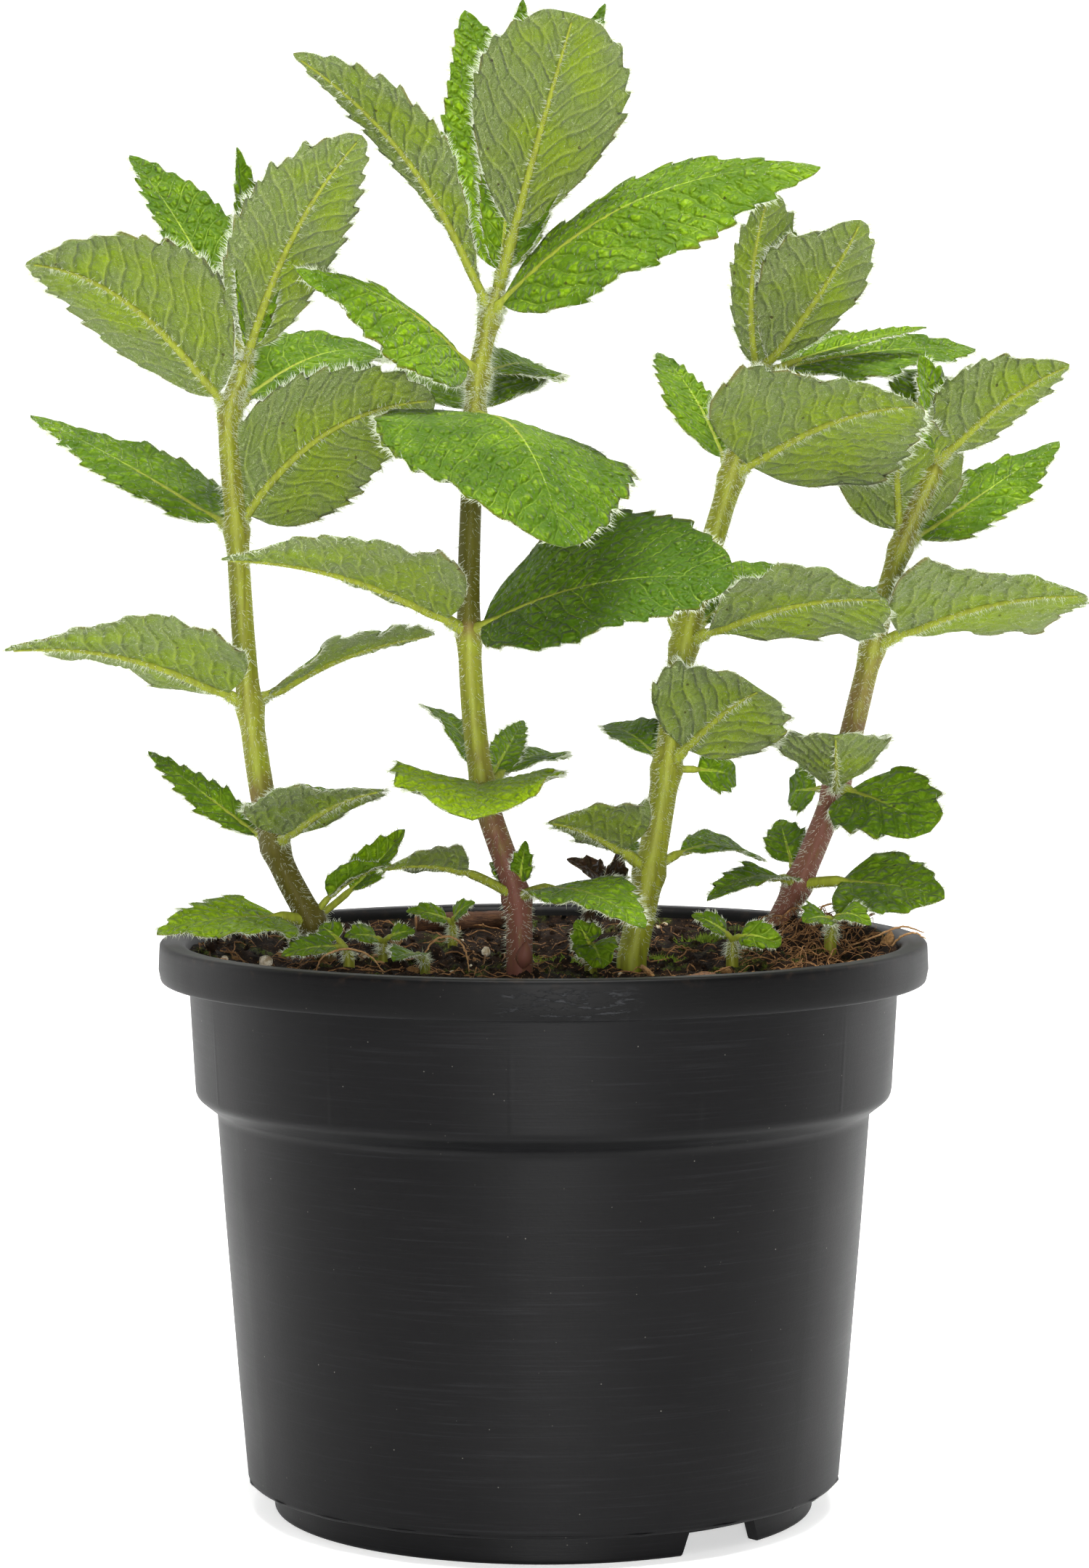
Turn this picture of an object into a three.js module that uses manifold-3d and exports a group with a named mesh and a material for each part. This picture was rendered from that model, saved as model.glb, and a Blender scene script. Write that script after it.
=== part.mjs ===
// A mint plant in its 13 cm nursery pot: four leafy stems and some young sprouts standing in
// potting mix. Millimetres, +Z up. The pot's foot stands on z = 0 and its axis is x = y = 0.
import * as THREE from 'three';
import { mergeVertices } from 'three/addons/utils/BufferGeometryUtils.js';
import Module from 'manifold-3d';

const wasm = await Module();
wasm.setup();

// Driving dimensions of the pot.
const rimRadius = 65;
const rimHeight = 97;
const lipDepth = 6.6;
const collarRadius = 60.2;
const collarDepth = 26;
const wallTopRadius = 55.5;
const wallFootRadius = 50.5;
const wallThickness = 1.5;
const footRadius = 46;
const footWidth = 2.6;
const footHeight = 5.2;
const floorUnderside = 3.8;
const potFacets = 32;
const footNotchAngles = [40, 220];
const footNotchWidth = 17;
const footRound = 0.5;
const chamferHeight = 2.8;
const collarTaper = 1.1;
const lipWidth = 4;
const lipBulge = 0.3;
const edgeRound = 0.8;
const floorFillet = 1.5;
const wallBends = [[22.3, 1.5], [50, 3.7]];
const drainHoleRadius = 3.5;
const drainHoleCircle = 32;
const drainHoleCount = 6;

// Driving dimensions of the filling and of what grows in it.
const gap = 0.35;
const soilLevel = 91.6;
const soilRipple = { height: 0.5, alongX: 5.3, alongY: 6.1 };
const soilRidge = { height: 0.35, along: 4.3 };
const soilBack = { rise: 2.2, from: 20, to: 50 };
const soilHeap = { x: 47, y: 18, height: 6.5, width: 14, depth: 18 };
const soilEdge = { drop: 0.8, from: 48, to: 56 };
const soilRings = [0.8, 0.55, 0.3, 0.06];
const rootDepth = 16;
const bladeEdge = 0.6;
const bladeMiddle = 0.9;
const petioleWidth = 1.9;
const petioleDepth = 1.6;
const toothDepth = 0.07;
const toothSpacing = 7.5;
const fewestTeeth = 2;
const mostTeeth = 5;
const tipShare = 0.35;
const stemTaper = 0.3;
const stemStep = 7;
const stemSquareness = 0.07;

const colours = {
  leaf: '#4f7d2c',
  sprout: '#7ea23c',
  withered: '#4a3122',
  pot: '#1c1c1d',
  soil: '#4b3626',
  wood: '#6b4a30',
  bark: '#a8794d',
};

// Each stem lists its nodes from the soil upwards. A leaf grows at node number `at` and ends at
// `tip`; `up` is where its upper side looks, `arch` and `sway` bow its midrib, `stalk` is its bare
// length. `fold` lifts its two halves and `curl` adds to that where the blade is wide. `wide` is
// where along the blade it is widest, `blunt` how full its outline is, and `halves` what share of
// half its width each side has. A `round` leaf is full and blunt.
const stems = {
  stem_left: {
    radius: 2.2,
    nodes: [
      [-38, 10, 92], [-40, 9, 99], [-46, 7, 112], [-50, 4, 136],
      [-52, 2, 166], [-53, 1, 186], [-50, 0, 195],
    ],
    leaves: [
      {
        at: 1, tip: [-65, -9, 98.6], width: 21, up: [0, -0.3, 0.95], arch: 2, stalk: 7, fold: 4,
        wide: 0.28, halves: [1.2, 0.8],
      },
      { at: 1, tip: [-24, 14, 114.5], width: 8, up: [0.2, -0.6, 0.8], arch: -2, stalk: 9, fold: 30 },
      { at: 1, tip: [-27.5, 10, 108.5], width: 7, up: [0, -0.4, 0.9], arch: 2, stalk: 5, fold: 35 },
      {
        at: 2, tip: [-27, -18, 123.5], width: 28, up: [-0.25, 0.45, 0.9], arch: 2, stalk: 4, fold: 6,
        halves: [0.6, 1],
      },
      {
        at: 2, tip: [-69, 22, 127.5], width: 16, up: [0, -0.55, 0.8], arch: 0, stalk: 4, fold: 2,
        halves: [0.5, 0.45],
      },
      { at: 2, tip: [-41.5, 16, 118], width: 4, up: [0, -0.3, 1], arch: 1, stalk: 2 },
      {
        at: 3, tip: [-88, -26, 147], width: 31, up: [0, 0.34, 1], arch: 4, stalk: 5, fold: 11,
        wide: 0.34,
      },
      {
        at: 3, tip: [-19, 22, 148], width: 28, up: [0, 0.34, 1], arch: 2.5, stalk: 4, fold: 4,
        wide: 0.3,
      },
      {
        at: 4, tip: [-18, -11, 188], width: 28, up: [0.3, 0.9, 0.4], arch: 4, sway: 5, stalk: 3,
        fold: 6, wide: 0.36, blunt: 0.6, halves: [0.85, 0.8],
      },
      {
        at: 4, tip: [-90, 30, 186], width: 27, up: [0.1, -0.35, 1], arch: 1, stalk: 4, fold: -4,
        wide: 0.3, halves: [0.55, 0.9],
      },
      {
        at: 5, tip: [-84, -26, 210], width: 27, up: [-0.2, 0.6, 0.8], arch: 9, stalk: 3, wide: 0.42,
        halves: [1.05, 0.78],
      },
      { at: 5, tip: [-27, 28, 196.5], width: 24, up: [0, -0.5, 0.9], arch: 5, stalk: 4, fold: 5 },
      {
        at: 6, tip: [-72, 26, 231], width: 19, up: [0.3, -0.7, 0.5], arch: 3, stalk: 4,
        halves: [0.55, 1.0],
      },
      {
        at: 6, tip: [-29.5, -26, 230.5], width: 22, up: [-0.1, 0.9, 0.4], arch: 3, sway: 2, stalk: 2,
        wide: 0.45, blunt: 0.6, halves: [0.8, 0.9],
      },
      {
        at: 6, tip: [-51, -8, 230], width: 12, up: [0.3, -0.9, 0.2], arch: 1, stalk: 2, fold: 36,
        halves: [0.45, 1],
      },
    ],
  },
  stem_middle: {
    radius: 2.1,
    nodes: [
      [-4, -8, 91.5], [-4.5, -8, 104.5], [-10, -7, 122.5], [-12.5, -6, 149],
      [-11.5, -4, 185], [-11, -3, 192], [-9, -2, 202], [-7.5, -1, 207],
    ],
    leaves: [
      { at: 1, tip: [-26, -27, 111], width: 13, up: [0, 0.5, 0.85], arch: 3, stalk: 11, wide: 0.5 },
      {
        at: 1, tip: [16.5, -33, 102], width: 18, up: [0, -0.2, 1], arch: 4, stalk: 9, fold: 2,
        wide: 0.28,
      },
      { at: 1, tip: [-3, -11, 114.5], width: 4, up: [0, -1, 0.2], arch: 0, stalk: 3 },
      { at: 1, tip: [-9, -6, 110.5], width: 3.5, up: [0, -0.3, 1], arch: 0, stalk: 3 },
      {
        at: 2, tip: [-11.5, -37, 120], width: 29, up: [0, -0.2, 1], arch: 3, stalk: 3, fold: 12,
        wide: 0.5, blunt: 0.5,
      },
      {
        at: 2, tip: [-21, 13, 136], width: 12, up: [0, 0.3, 0.9], arch: 3, stalk: 4, halves: [0.8, 0.5],
      },
      { at: 2, tip: [3.5, 17, 126.5], width: 12, up: [0, -0.3, 0.9], arch: 3, stalk: 6 },
      { at: 2, tip: [-3.5, 14, 133.3], width: 6, up: [0.3, -0.4, 0.8], arch: 1, stalk: 4 },
      {
        at: 3, tip: [-52, -34, 162], width: 33, up: [0, 0.2, 1], arch: 3.5, stalk: 5, fold: 12,
        halves: [1, 0.5],
      },
      {
        at: 3, tip: [31, -24, 158.5], width: 34, up: [0, -0.65, 0.75], arch: 5, stalk: 3, fold: 0,
        wide: 0.45, blunt: 0.5, halves: [1.15, 0.8],
      },
      {
        at: 4, tip: [3.5, -42, 164], width: 44, up: [0.3, -0.4, 0.9], arch: 8, sway: 2, stalk: 3,
        fold: 0, curl: -10, halves: [1.0, 1.1], round: true,
      },
      { at: 4, tip: [-16, 38, 195], width: 28, up: [0, -0.3, 0.9], arch: 2, stalk: 4, fold: 6 },
      {
        at: 5, tip: [-40.5, -24, 209], width: 27, up: [0, -0.6, 0.8], arch: 4, stalk: 3, fold: -16,
        halves: [1, 0.5],
      },
      { at: 5, tip: [2, 28, 192], width: 14, up: [-0.1, -0.8, 0.5], arch: 3, stalk: 4, fold: 4 },
      {
        at: 6, tip: [-41, -18, 244.5], width: 25, up: [0.5, 0.7, 0.5], arch: 6, sway: -1, stalk: 4,
        wide: 0.62, halves: [0.68, 0.4],
      },
      {
        at: 6, tip: [46, -10, 226.5], width: 32, up: [-0.3, -0.6, 0.8], arch: 9, stalk: 3, fold: -12,
        wide: 0.42, halves: [0.7, 1],
      },
      {
        at: 7, tip: [5, -18, 251], width: 26.5, up: [0, 1, 0.3], arch: 4, stalk: 10, wide: 0.6,
        blunt: 0.5,
      },
      {
        at: 7, tip: [-13.5, 16, 255], width: 19, up: [0.3, -0.9, 0.2], arch: 2, sway: 2, stalk: 3,
        halves: [1.15, 1],
      },
      { at: 7, tip: [-3.5, 12, 256.5], width: 11, up: [0.2, -0.9, 0.2], arch: 1, stalk: 3 },
      { at: 7, tip: [10.5, 10, 255.5], width: 12, up: [-0.4, -0.8, 0.3], arch: 1, stalk: 3 },
    ],
  },
  stem_right: {
    radius: 2.4,
    nodes: [
      [15, 0, 92], [18, 2, 108], [21, 4, 125.5], [24, 7, 146.5],
      [32, 8, 175], [36.5, 8, 192.5],
    ],
    leaves: [
      {
        at: 1, tip: [1, -15, 118], width: 20, up: [0, 0.5, 0.85], arch: 2, stalk: 7, halves: [1.1, 0.5],
      },
      {
        at: 1, tip: [37.5, 16, 109], width: 13, up: [0, -0.3, 0.9], arch: 4, stalk: 6, fold: 4,
        wide: 0.58,
      },
      { at: 1, tip: [15, 12, 113], width: 4, up: [0, -0.8, 0.5], arch: 0, stalk: 3 },
      {
        at: 2, tip: [36, -16, 140], width: 25, up: [0.1, 0.8, 0.5], arch: 3, stalk: 5, fold: 6,
        halves: [0.9, 1], round: true,
      },
      {
        at: 2, tip: [10.5, 22, 132], width: 9, up: [0, -0.4, 0.9], arch: 2, stalk: 4, halves: [1, 1.3],
      },
      { at: 2, tip: [33, 10, 124], width: 8, up: [0.2, -0.9, 0.3], arch: 2, stalk: 5, round: true },
      { at: 3, tip: [13, 28, 160], width: 24, up: [0, -0.3, 0.9], arch: 4, stalk: 6 },
      {
        at: 3, tip: [57, -11, 155], width: 29, up: [0, 0.35, 0.95], arch: 3, stalk: 5, fold: [-12, 4],
        wide: 0.62, blunt: 0.6, halves: [1, 1.1],
      },
      { at: 3, tip: [44, 32, 159], width: 16, up: [0, -0.3, 0.9], arch: 3, stalk: 6, halves: [1.2, 1] },
      {
        at: 4, tip: [62, -20, 187], width: 34, up: [0, 0.6, 0.75], arch: 4, stalk: 4, fold: 2,
        wide: 0.32, halves: [1.1, 1.1],
      },
      {
        at: 4, tip: [20, 30, 197], width: 12, up: [0.1, -0.5, 0.8], arch: 3, stalk: 4,
        halves: [1.1, 0.5],
      },
      {
        at: 5, tip: [38, -3, 223], width: 17, up: [0, 1, 0.1], arch: 1, sway: 2, stalk: 2, fold: 32,
        wide: 0.45, blunt: 0.55, halves: [1.2, 0.5],
      },
      {
        at: 5, tip: [53, -6, 218], width: 23, up: [-0.2, 0.8, 0.4], arch: 3, sway: -2.5, stalk: 3,
        wide: 0.5, halves: [0.7, 1],
      },
      {
        at: 5, tip: [75.5, 28, 197.5], width: 20, up: [0, -0.45, 0.85], arch: 2, stalk: 5, fold: 5,
        halves: [0.8, 1.1],
      },
      { at: 5, tip: [66, 17, 201], width: 6, up: [0, -0.4, 0.9], arch: 1, stalk: 8 },
    ],
  },
  stem_far_right: {
    radius: 2.2,
    nodes: [
      [41, 24, 95], [44.5, 23, 104], [51, 21, 121], [57, 18, 145.5],
      [61.5, 14, 163], [67.5, 12, 177.5],
    ],
    leaves: [
      {
        at: 1, tip: [69, 9, 103], width: 19, up: [0, -0.5, 0.85], arch: 2, stalk: 9, fold: 3,
        halves: [1, 1.3],
      },
      {
        at: 1, tip: [28, 5, 103], width: 14, up: [0, -0.3, 0.9], arch: 3, stalk: 5, wide: 0.28,
        halves: [1, 0.6],
      },
      { at: 1, tip: [42, 36, 114.5], width: 8, up: [-0.2, -0.5, 0.8], arch: 1, stalk: 5 },
      {
        at: 2, tip: [49, -8, 132], width: 24, up: [0, 0.6, 0.8], arch: -2, stalk: 3, fold: 24,
        wide: 0.62, halves: [0.85, 0.9],
      },
      {
        at: 2, tip: [66, 3, 115], width: 22, up: [0.25, -0.9, 0.5], arch: 2, stalk: 4, fold: 3,
        halves: [0.85, 0.9], round: true,
      },
      { at: 2, tip: [43.5, 30, 120], width: 8.5, up: [-0.1, -1, 0.2], arch: 1, stalk: 4, round: true },
      {
        at: 3, tip: [91, -5, 155.5], width: 34, up: [0, 0.34, 0.95], arch: 3, stalk: 6, fold: 4,
        wide: 0.46, halves: [1.15, 1.15],
      },
      { at: 3, tip: [47, 43, 152], width: 22, up: [0, -0.3, 0.9], arch: 4, stalk: 6 },
      {
        at: 4, tip: [59.5, 2, 187], width: 24, up: [0, 0.85, 0.5], arch: 3, stalk: 3,
        halves: [1.0, 0.85],
      },
      {
        at: 4, tip: [91, 34, 181.5], width: 29, up: [0, -0.4, 0.9], arch: 0, stalk: 4, fold: -6,
        halves: [0.6, 0.55],
      },
      {
        at: 5, tip: [88, -6, 194], width: 20, up: [0, 0.7, 0.6], arch: 3, stalk: 3, fold: 8,
        halves: [0.55, 1],
      },
      { at: 5, tip: [64, 30, 194], width: 14, up: [0.1, -0.5, 0.8], arch: 4, stalk: 3 },
      { at: 5, tip: [64, 7, 196], width: 12, up: [0.6, -0.7, 0.3], arch: 1, stalk: 3 },
      { at: 5, tip: [73, 7, 194.5], width: 10, up: [-0.6, 0.5, 0.4], arch: 1, stalk: 2 },
    ],
  },
};

// Young sprouts round the stems, each a short stem with its own small leaves.
const sprouts = {
  sprout_far_left: {
    radius: 0.9,
    nodes: [[-33, -2, 92], [-33.5, -2, 95.5]],
    leaves: [
      { at: 1, tip: [-44, -10, 95], width: 6, up: [0, -0.6, 0.8], arch: 1, stalk: 2.5 },
      { at: 1, tip: [-38, 1, 99], width: 5, up: [0, -0.8, 0.5], arch: 1, stalk: 2 },
    ],
  },
  sprout_left: {
    radius: 0.9,
    nodes: [[-27.5, 8, 92], [-27.5, 8, 95.5]],
    leaves: [
      { at: 1, tip: [-34, 3, 97], width: 5, up: [0, -0.7, 0.7], arch: 1, stalk: 2 },
      { at: 1, tip: [-22, 6, 97.5], width: 4, up: [0, -0.7, 0.7], arch: 1, stalk: 2 },
    ],
  },
  sprout_back: {
    radius: 0.8,
    nodes: [[-16, 26, 92], [-16, 26, 97]],
    leaves: [
      { at: 1, tip: [-24, 22, 99.5], width: 4.5, up: [0, -0.7, 0.7], arch: 1, stalk: 1.5 },
      { at: 1, tip: [-12, 23, 101], width: 4, up: [0, -0.7, 0.7], arch: 1, stalk: 1.5 },
    ],
  },
  sprout_yellow: {
    radius: 0.8,
    nodes: [[-20, -6, 92], [-20.5, -7, 94.5]],
    leaves: [
      { at: 1, tip: [-25, -16, 94.8], width: 6.5, up: [0, -0.4, 0.9], arch: 1, stalk: 2 },
    ],
  },
  sprout_front: {
    radius: 1,
    nodes: [[8, -6, 92], [8, -6, 96]],
    leaves: [
      { at: 1, tip: [5.5, -9, 101], width: 6, up: [0, -1, 0.3], arch: 1, stalk: 1.5 },
      { at: 1, tip: [10, -14, 93.4], width: 8, up: [0, -0.8, 0.5], arch: 2, stalk: 1.5, round: true },
    ],
  },
  sprout_front_right: {
    radius: 1,
    nodes: [[32, -3, 92.5], [32, -3, 97]],
    leaves: [
      { at: 1, tip: [25, -6, 101.5], width: 4.5, up: [0, -0.7, 0.7], arch: 1, stalk: 2 },
      { at: 1, tip: [40, -7, 96.5], width: 6, up: [0.1, -0.8, 0.6], arch: 2, stalk: 2, round: true },
    ],
  },
  sprout_right: {
    radius: 1,
    nodes: [[49, 3, 95], [49.5, 3, 99.5]],
    leaves: [
      { at: 1, tip: [44, -2, 100], width: 7, up: [0, -0.6, 0.8], arch: 1, stalk: 2 },
      { at: 1, tip: [55.5, -3, 99.5], width: 6, up: [0, -0.6, 0.8], arch: 2, stalk: 2 },
    ],
  },
};

const witheredShoot = {
  radius: 1,
  nodes: [[7, 14, 92], [7.5, 13, 99], [10, 12, 105]],
  leaves: [
    { at: 2, tip: [4, 6, 110], width: 5, up: [0, -0.8, 0.4], arch: 2, stalk: 2, fold: 35 },
    { at: 2, tip: [13, 5, 112], width: 6, up: [0.3, -0.8, 0.4], arch: 2, stalk: 2, fold: 35 },
    { at: 1, tip: [13, 7, 102], width: 4, up: [0, -0.6, 0.8], arch: 2, stalk: 3 },
  ],
};

const twig = { from: [-23, 47, 95.2], to: [-5, 50, 95.5], radius: 1.75 };

const barkChips = [
  { at: [-46, -19, 92.9], size: [7, 4, 1.2], turn: 25 },
  { at: [6, -32, 92.9], size: [6, 4, 1.2], turn: -15 },
  { at: [26, -24, 93.1], size: [8, 3.5, 1.3], turn: 60 },
];

const vector = (list) => new THREE.Vector3(...list);

// Closed body through rings of equal count. A ring may be thin: its first half is one face and
// its second half the other, and `mirrored` splits both faces into triangles alike.
function loft(rings, mirrored = false) {
  const count = rings[0].length;
  const half = count / 2;
  const index = [];
  for (let i = 0; i < rings.length - 1; i += 1) {
    for (let j = 0; j < count; j += 1) {
      const a = i * count + j;
      const b = i * count + ((j + 1) % count);
      const column = j < half ? j : count - 2 - j;
      const flip = mirrored && (column < (half - 1) / 2) !== (j < half);
      if (flip) index.push(a, b, a + count, b, b + count, a + count);
      else index.push(a, b, b + count, a, b + count, a + count);
    }
  }
  const last = (rings.length - 1) * count;
  for (let j = 1; j < count - 1; j += 1) {
    index.push(0, j + 1, j, last, last + j, last + j + 1);
  }
  const geometry = new THREE.BufferGeometry();
  const flat = rings.flat().flatMap((point) => [point.x, point.y, point.z]);
  geometry.setAttribute('position', new THREE.Float32BufferAttribute(flat, 3));
  geometry.setIndex(index);
  return geometry;
}

function solidOf(geometry) {
  const bare = geometry.clone();
  bare.deleteAttribute('normal');
  bare.deleteAttribute('uv');
  const merged = mergeVertices(bare, 1e-4);
  return new wasm.Manifold(new wasm.Mesh({
    numProp: 3,
    vertProperties: Float32Array.from(merged.attributes.position.array),
    triVerts: Uint32Array.from(merged.index.array),
  }));
}

// The largest piece of a join, so that no scrap is left loose.
function wholeBody(solid) {
  const pieces = solid.decompose();
  return pieces.reduce((best, piece) => (piece.volume() > best.volume() ? piece : best));
}

function geometryOf(solid) {
  const mesh = solid.getMesh();
  const geometry = new THREE.BufferGeometry();
  geometry.setAttribute('position', new THREE.BufferAttribute(mesh.vertProperties, 3));
  geometry.setIndex(new THREE.BufferAttribute(mesh.triVerts, 1));
  geometry.computeVertexNormals();
  return geometry;
}

// A leaf: petiole and blade in one body, with a folded section and a toothed edge.
function leafGeometry(leaf, start) {
  const { up, arch = 0, sway = 0, fold = 12, curl = 0, halves = [1, 1], round = false } = leaf;
  const { wide = round ? 0.44 : 0.38, blunt = round ? 0.5 : 0.75 } = leaf;
  const folds = [fold].flat();
  const skew = Math.log(0.5) / Math.log(wide);
  const tip = vector(leaf.tip);
  const chord = tip.clone().sub(start);
  const length = chord.length();
  const along = chord.clone().normalize();
  const facing = vector(up).addScaledVector(along, -vector(up).dot(along)).normalize();
  const across = along.clone().cross(facing);
  const control = start.clone().addScaledVector(chord, 0.5)
    .addScaledVector(facing, 2 * arch).addScaledVector(across, 2 * sway);
  const midrib = new THREE.QuadraticBezierCurve3(start, control, tip);
  const bladeStart = leaf.stalk / length;
  const toothCount = Math.round((length - leaf.stalk) / toothSpacing);
  const steps = 2 * THREE.MathUtils.clamp(toothCount, fewestTeeth, mostTeeth);

  // One section: left edge, midrib, right edge, and back along the under side.
  const ringAt = (place, widths, lifts, middle, edge) => {
    const point = midrib.getPoint(place);
    const tangent = midrib.getTangent(place);
    const normal = facing.clone().addScaledVector(tangent, -facing.dot(tangent)).normalize();
    const side = tangent.clone().cross(normal);
    const rim = (v, way) => {
      const [width, lift] = v < 0 ? [widths[0], lifts[0]] : [widths[1], lifts[1]];
      const thickness = (way * edge) / 2 / Math.cos(lift);
      return point.clone().addScaledVector(side, v * width * Math.cos(lift))
        .addScaledVector(normal, width * Math.sin(lift) + thickness);
    };
    const spine = (way) => point.clone().addScaledVector(normal, (way * middle) / 2);
    return [rim(-1, 1), spine(1), rim(1, 1), rim(1, -1), spine(-1), rim(-1, -1)];
  };

  const bare = [petioleWidth / 2, petioleWidth / 2];
  const flat = [0, 0];
  const rings = [
    ringAt(0, bare, flat, petioleDepth, bladeEdge),
    ringAt(bladeStart, bare, flat, petioleDepth, bladeEdge),
  ];
  for (let k = 1; k <= steps; k += 1) {
    const u = k / (steps + tipShare);
    const outline = Math.sin(Math.PI * u ** skew) ** blunt;
    const tooth = 1 + toothDepth * (k % 2 ? 1 : -1);
    const widths = halves.map((half) => (
      Math.max((leaf.width / 2) * half * outline * tooth, petioleWidth / 2)
    ));
    const lifts = [0, 1].map((i) => (
      THREE.MathUtils.degToRad((folds[i] ?? folds[0]) + curl * outline)
    ));
    rings.push(ringAt(bladeStart + (1 - bladeStart) * u, widths, lifts, bladeMiddle, bladeEdge));
  }
  const point = [bladeEdge / 2, bladeEdge / 2];
  rings.push(ringAt(1, point, flat, bladeEdge, bladeEdge));
  return loft(rings, true);
}

// A mint stem is square with rounded corners. Below the soil it stands straight in its hole.
function stemGeometry(stem) {
  const [base, ...rest] = stem.nodes.map(vector);
  const collar = base.clone().add(new THREE.Vector3(0, 0, 1.5));
  const curve = new THREE.CatmullRomCurve3([collar, ...rest], false, 'centripetal');
  const sides = stem.radius > 1.5 ? 8 : 6;
  const steps = Math.max(2, Math.round(curve.getLength() / stemStep));
  const ring = (centre, direction, radius) => {
    const right = new THREE.Vector3(0, 1, 0).cross(direction).normalize();
    const front = direction.clone().cross(right);
    return Array.from({ length: sides }, (_, j) => {
      const angle = (2 * Math.PI * j) / sides;
      const reach = radius * (1 + stemSquareness * Math.cos(4 * angle));
      return centre.clone().addScaledVector(right, reach * Math.cos(angle))
        .addScaledVector(front, reach * Math.sin(angle));
    });
  };
  const upwards = new THREE.Vector3(0, 0, 1);
  const foot = base.clone().addScaledVector(upwards, -rootDepth * Math.min(1, stem.radius / 2));
  const rings = [ring(foot, upwards, stem.radius), ring(collar, upwards, stem.radius)];
  for (let k = 1; k <= steps; k += 1) {
    const t = k / steps;
    const radius = stem.radius * (1 - stemTaper * t);
    rings.push(ring(curve.getPointAt(t), curve.getTangentAt(t), radius));
  }
  return loft(rings);
}

function growth(stem) {
  const solids = [solidOf(stemGeometry(stem))];
  for (const leaf of stem.leaves) {
    solids.push(solidOf(leafGeometry(leaf, vector(stem.nodes[leaf.at]))));
  }
  return wholeBody(wasm.Manifold.union(solids));
}

function cylinderAt(x, y, z, radius, height, sides = 8) {
  const cylinder = new THREE.CylinderGeometry(radius, radius, height, sides);
  cylinder.rotateX(Math.PI / 2);
  cylinder.translate(x, y, z);
  return solidOf(cylinder);
}

// Inside radius of the pot at a height: wall, chamfer, collar and lip.
const chamferTop = rimHeight - collarDepth;
const chamferFoot = chamferTop - chamferHeight;
const insideProfile = [
  [wallFootRadius - wallThickness, floorUnderside + wallThickness + floorFillet],
  [wallTopRadius - wallThickness, chamferFoot],
  [collarRadius - collarTaper - wallThickness, chamferTop],
  [collarRadius - wallThickness, rimHeight - lipDepth],
  [collarRadius - wallThickness + 1, rimHeight - lipDepth / 2],
];

function potSolid() {
  const outline = [
    [0, floorUnderside],
    [footRadius - footWidth, floorUnderside],
    [footRadius - footWidth, 0],
    [footRadius - footRound, 0],
    [footRadius, footRound],
    [footRadius, footHeight],
    [wallFootRadius - edgeRound, footHeight],
    [wallFootRadius, footHeight + edgeRound],
    ...wallBends.map(([height, growth]) => [wallFootRadius + growth, height]),
    [wallTopRadius, chamferFoot],
    [collarRadius - collarTaper, chamferTop],
    [collarRadius, rimHeight - lipDepth],
    [rimRadius - edgeRound, rimHeight - lipDepth],
    [rimRadius + lipBulge, rimHeight - lipDepth + edgeRound],
    [rimRadius, rimHeight - edgeRound],
    [rimRadius - edgeRound, rimHeight],
    [rimRadius - lipWidth, rimHeight],
    ...insideProfile.toReversed(),
    [wallFootRadius - wallThickness - floorFillet, floorUnderside + wallThickness],
    [0, floorUnderside + wallThickness],
  ];
  const shell = new THREE.LatheGeometry(outline.map(([r, z]) => new THREE.Vector2(r, z)), potFacets);
  shell.rotateX(Math.PI / 2);
  let pot = solidOf(shell);
  for (const angle of footNotchAngles) {
    const notch = new THREE.BoxGeometry(footNotchWidth, 3 * footWidth, 2 * floorUnderside);
    notch.translate(0, -footRadius, 0);
    notch.rotateZ(THREE.MathUtils.degToRad(angle));
    pot = pot.subtract(solidOf(notch));
  }
  for (let i = 0; i < drainHoleCount; i += 1) {
    const angle = (2 * Math.PI * (i + 0.5)) / drainHoleCount;
    const [x, y] = [drainHoleCircle * Math.cos(angle), drainHoleCircle * Math.sin(angle)];
    pot = pot.subtract(cylinderAt(x, y, floorUnderside, drainHoleRadius, 8));
  }
  return pot;
}

// Height of the mix: gentle ripples, a little higher at the back, heaped up at the right.
function soilHeight(x, y) {
  const { smoothstep } = THREE.MathUtils;
  const ripple = soilRipple.height * Math.sin(x / soilRipple.alongX + 1.2)
    * Math.cos(y / soilRipple.alongY);
  const ridge = soilRidge.height * Math.sin((x + 2 * y) / soilRidge.along);
  const back = soilBack.rise * smoothstep(y, soilBack.from, soilBack.to);
  const fromHeap = ((x - soilHeap.x) / soilHeap.width) ** 2 + ((y - soilHeap.y) / soilHeap.depth) ** 2;
  const heap = soilHeap.height * Math.exp(-fromHeap);
  const edge = smoothstep(Math.hypot(x, y), soilEdge.from, soilEdge.to);
  return soilLevel + ripple + ridge + back + heap * (1 - 0.5 * edge) - soilEdge.drop * edge;
}

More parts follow.
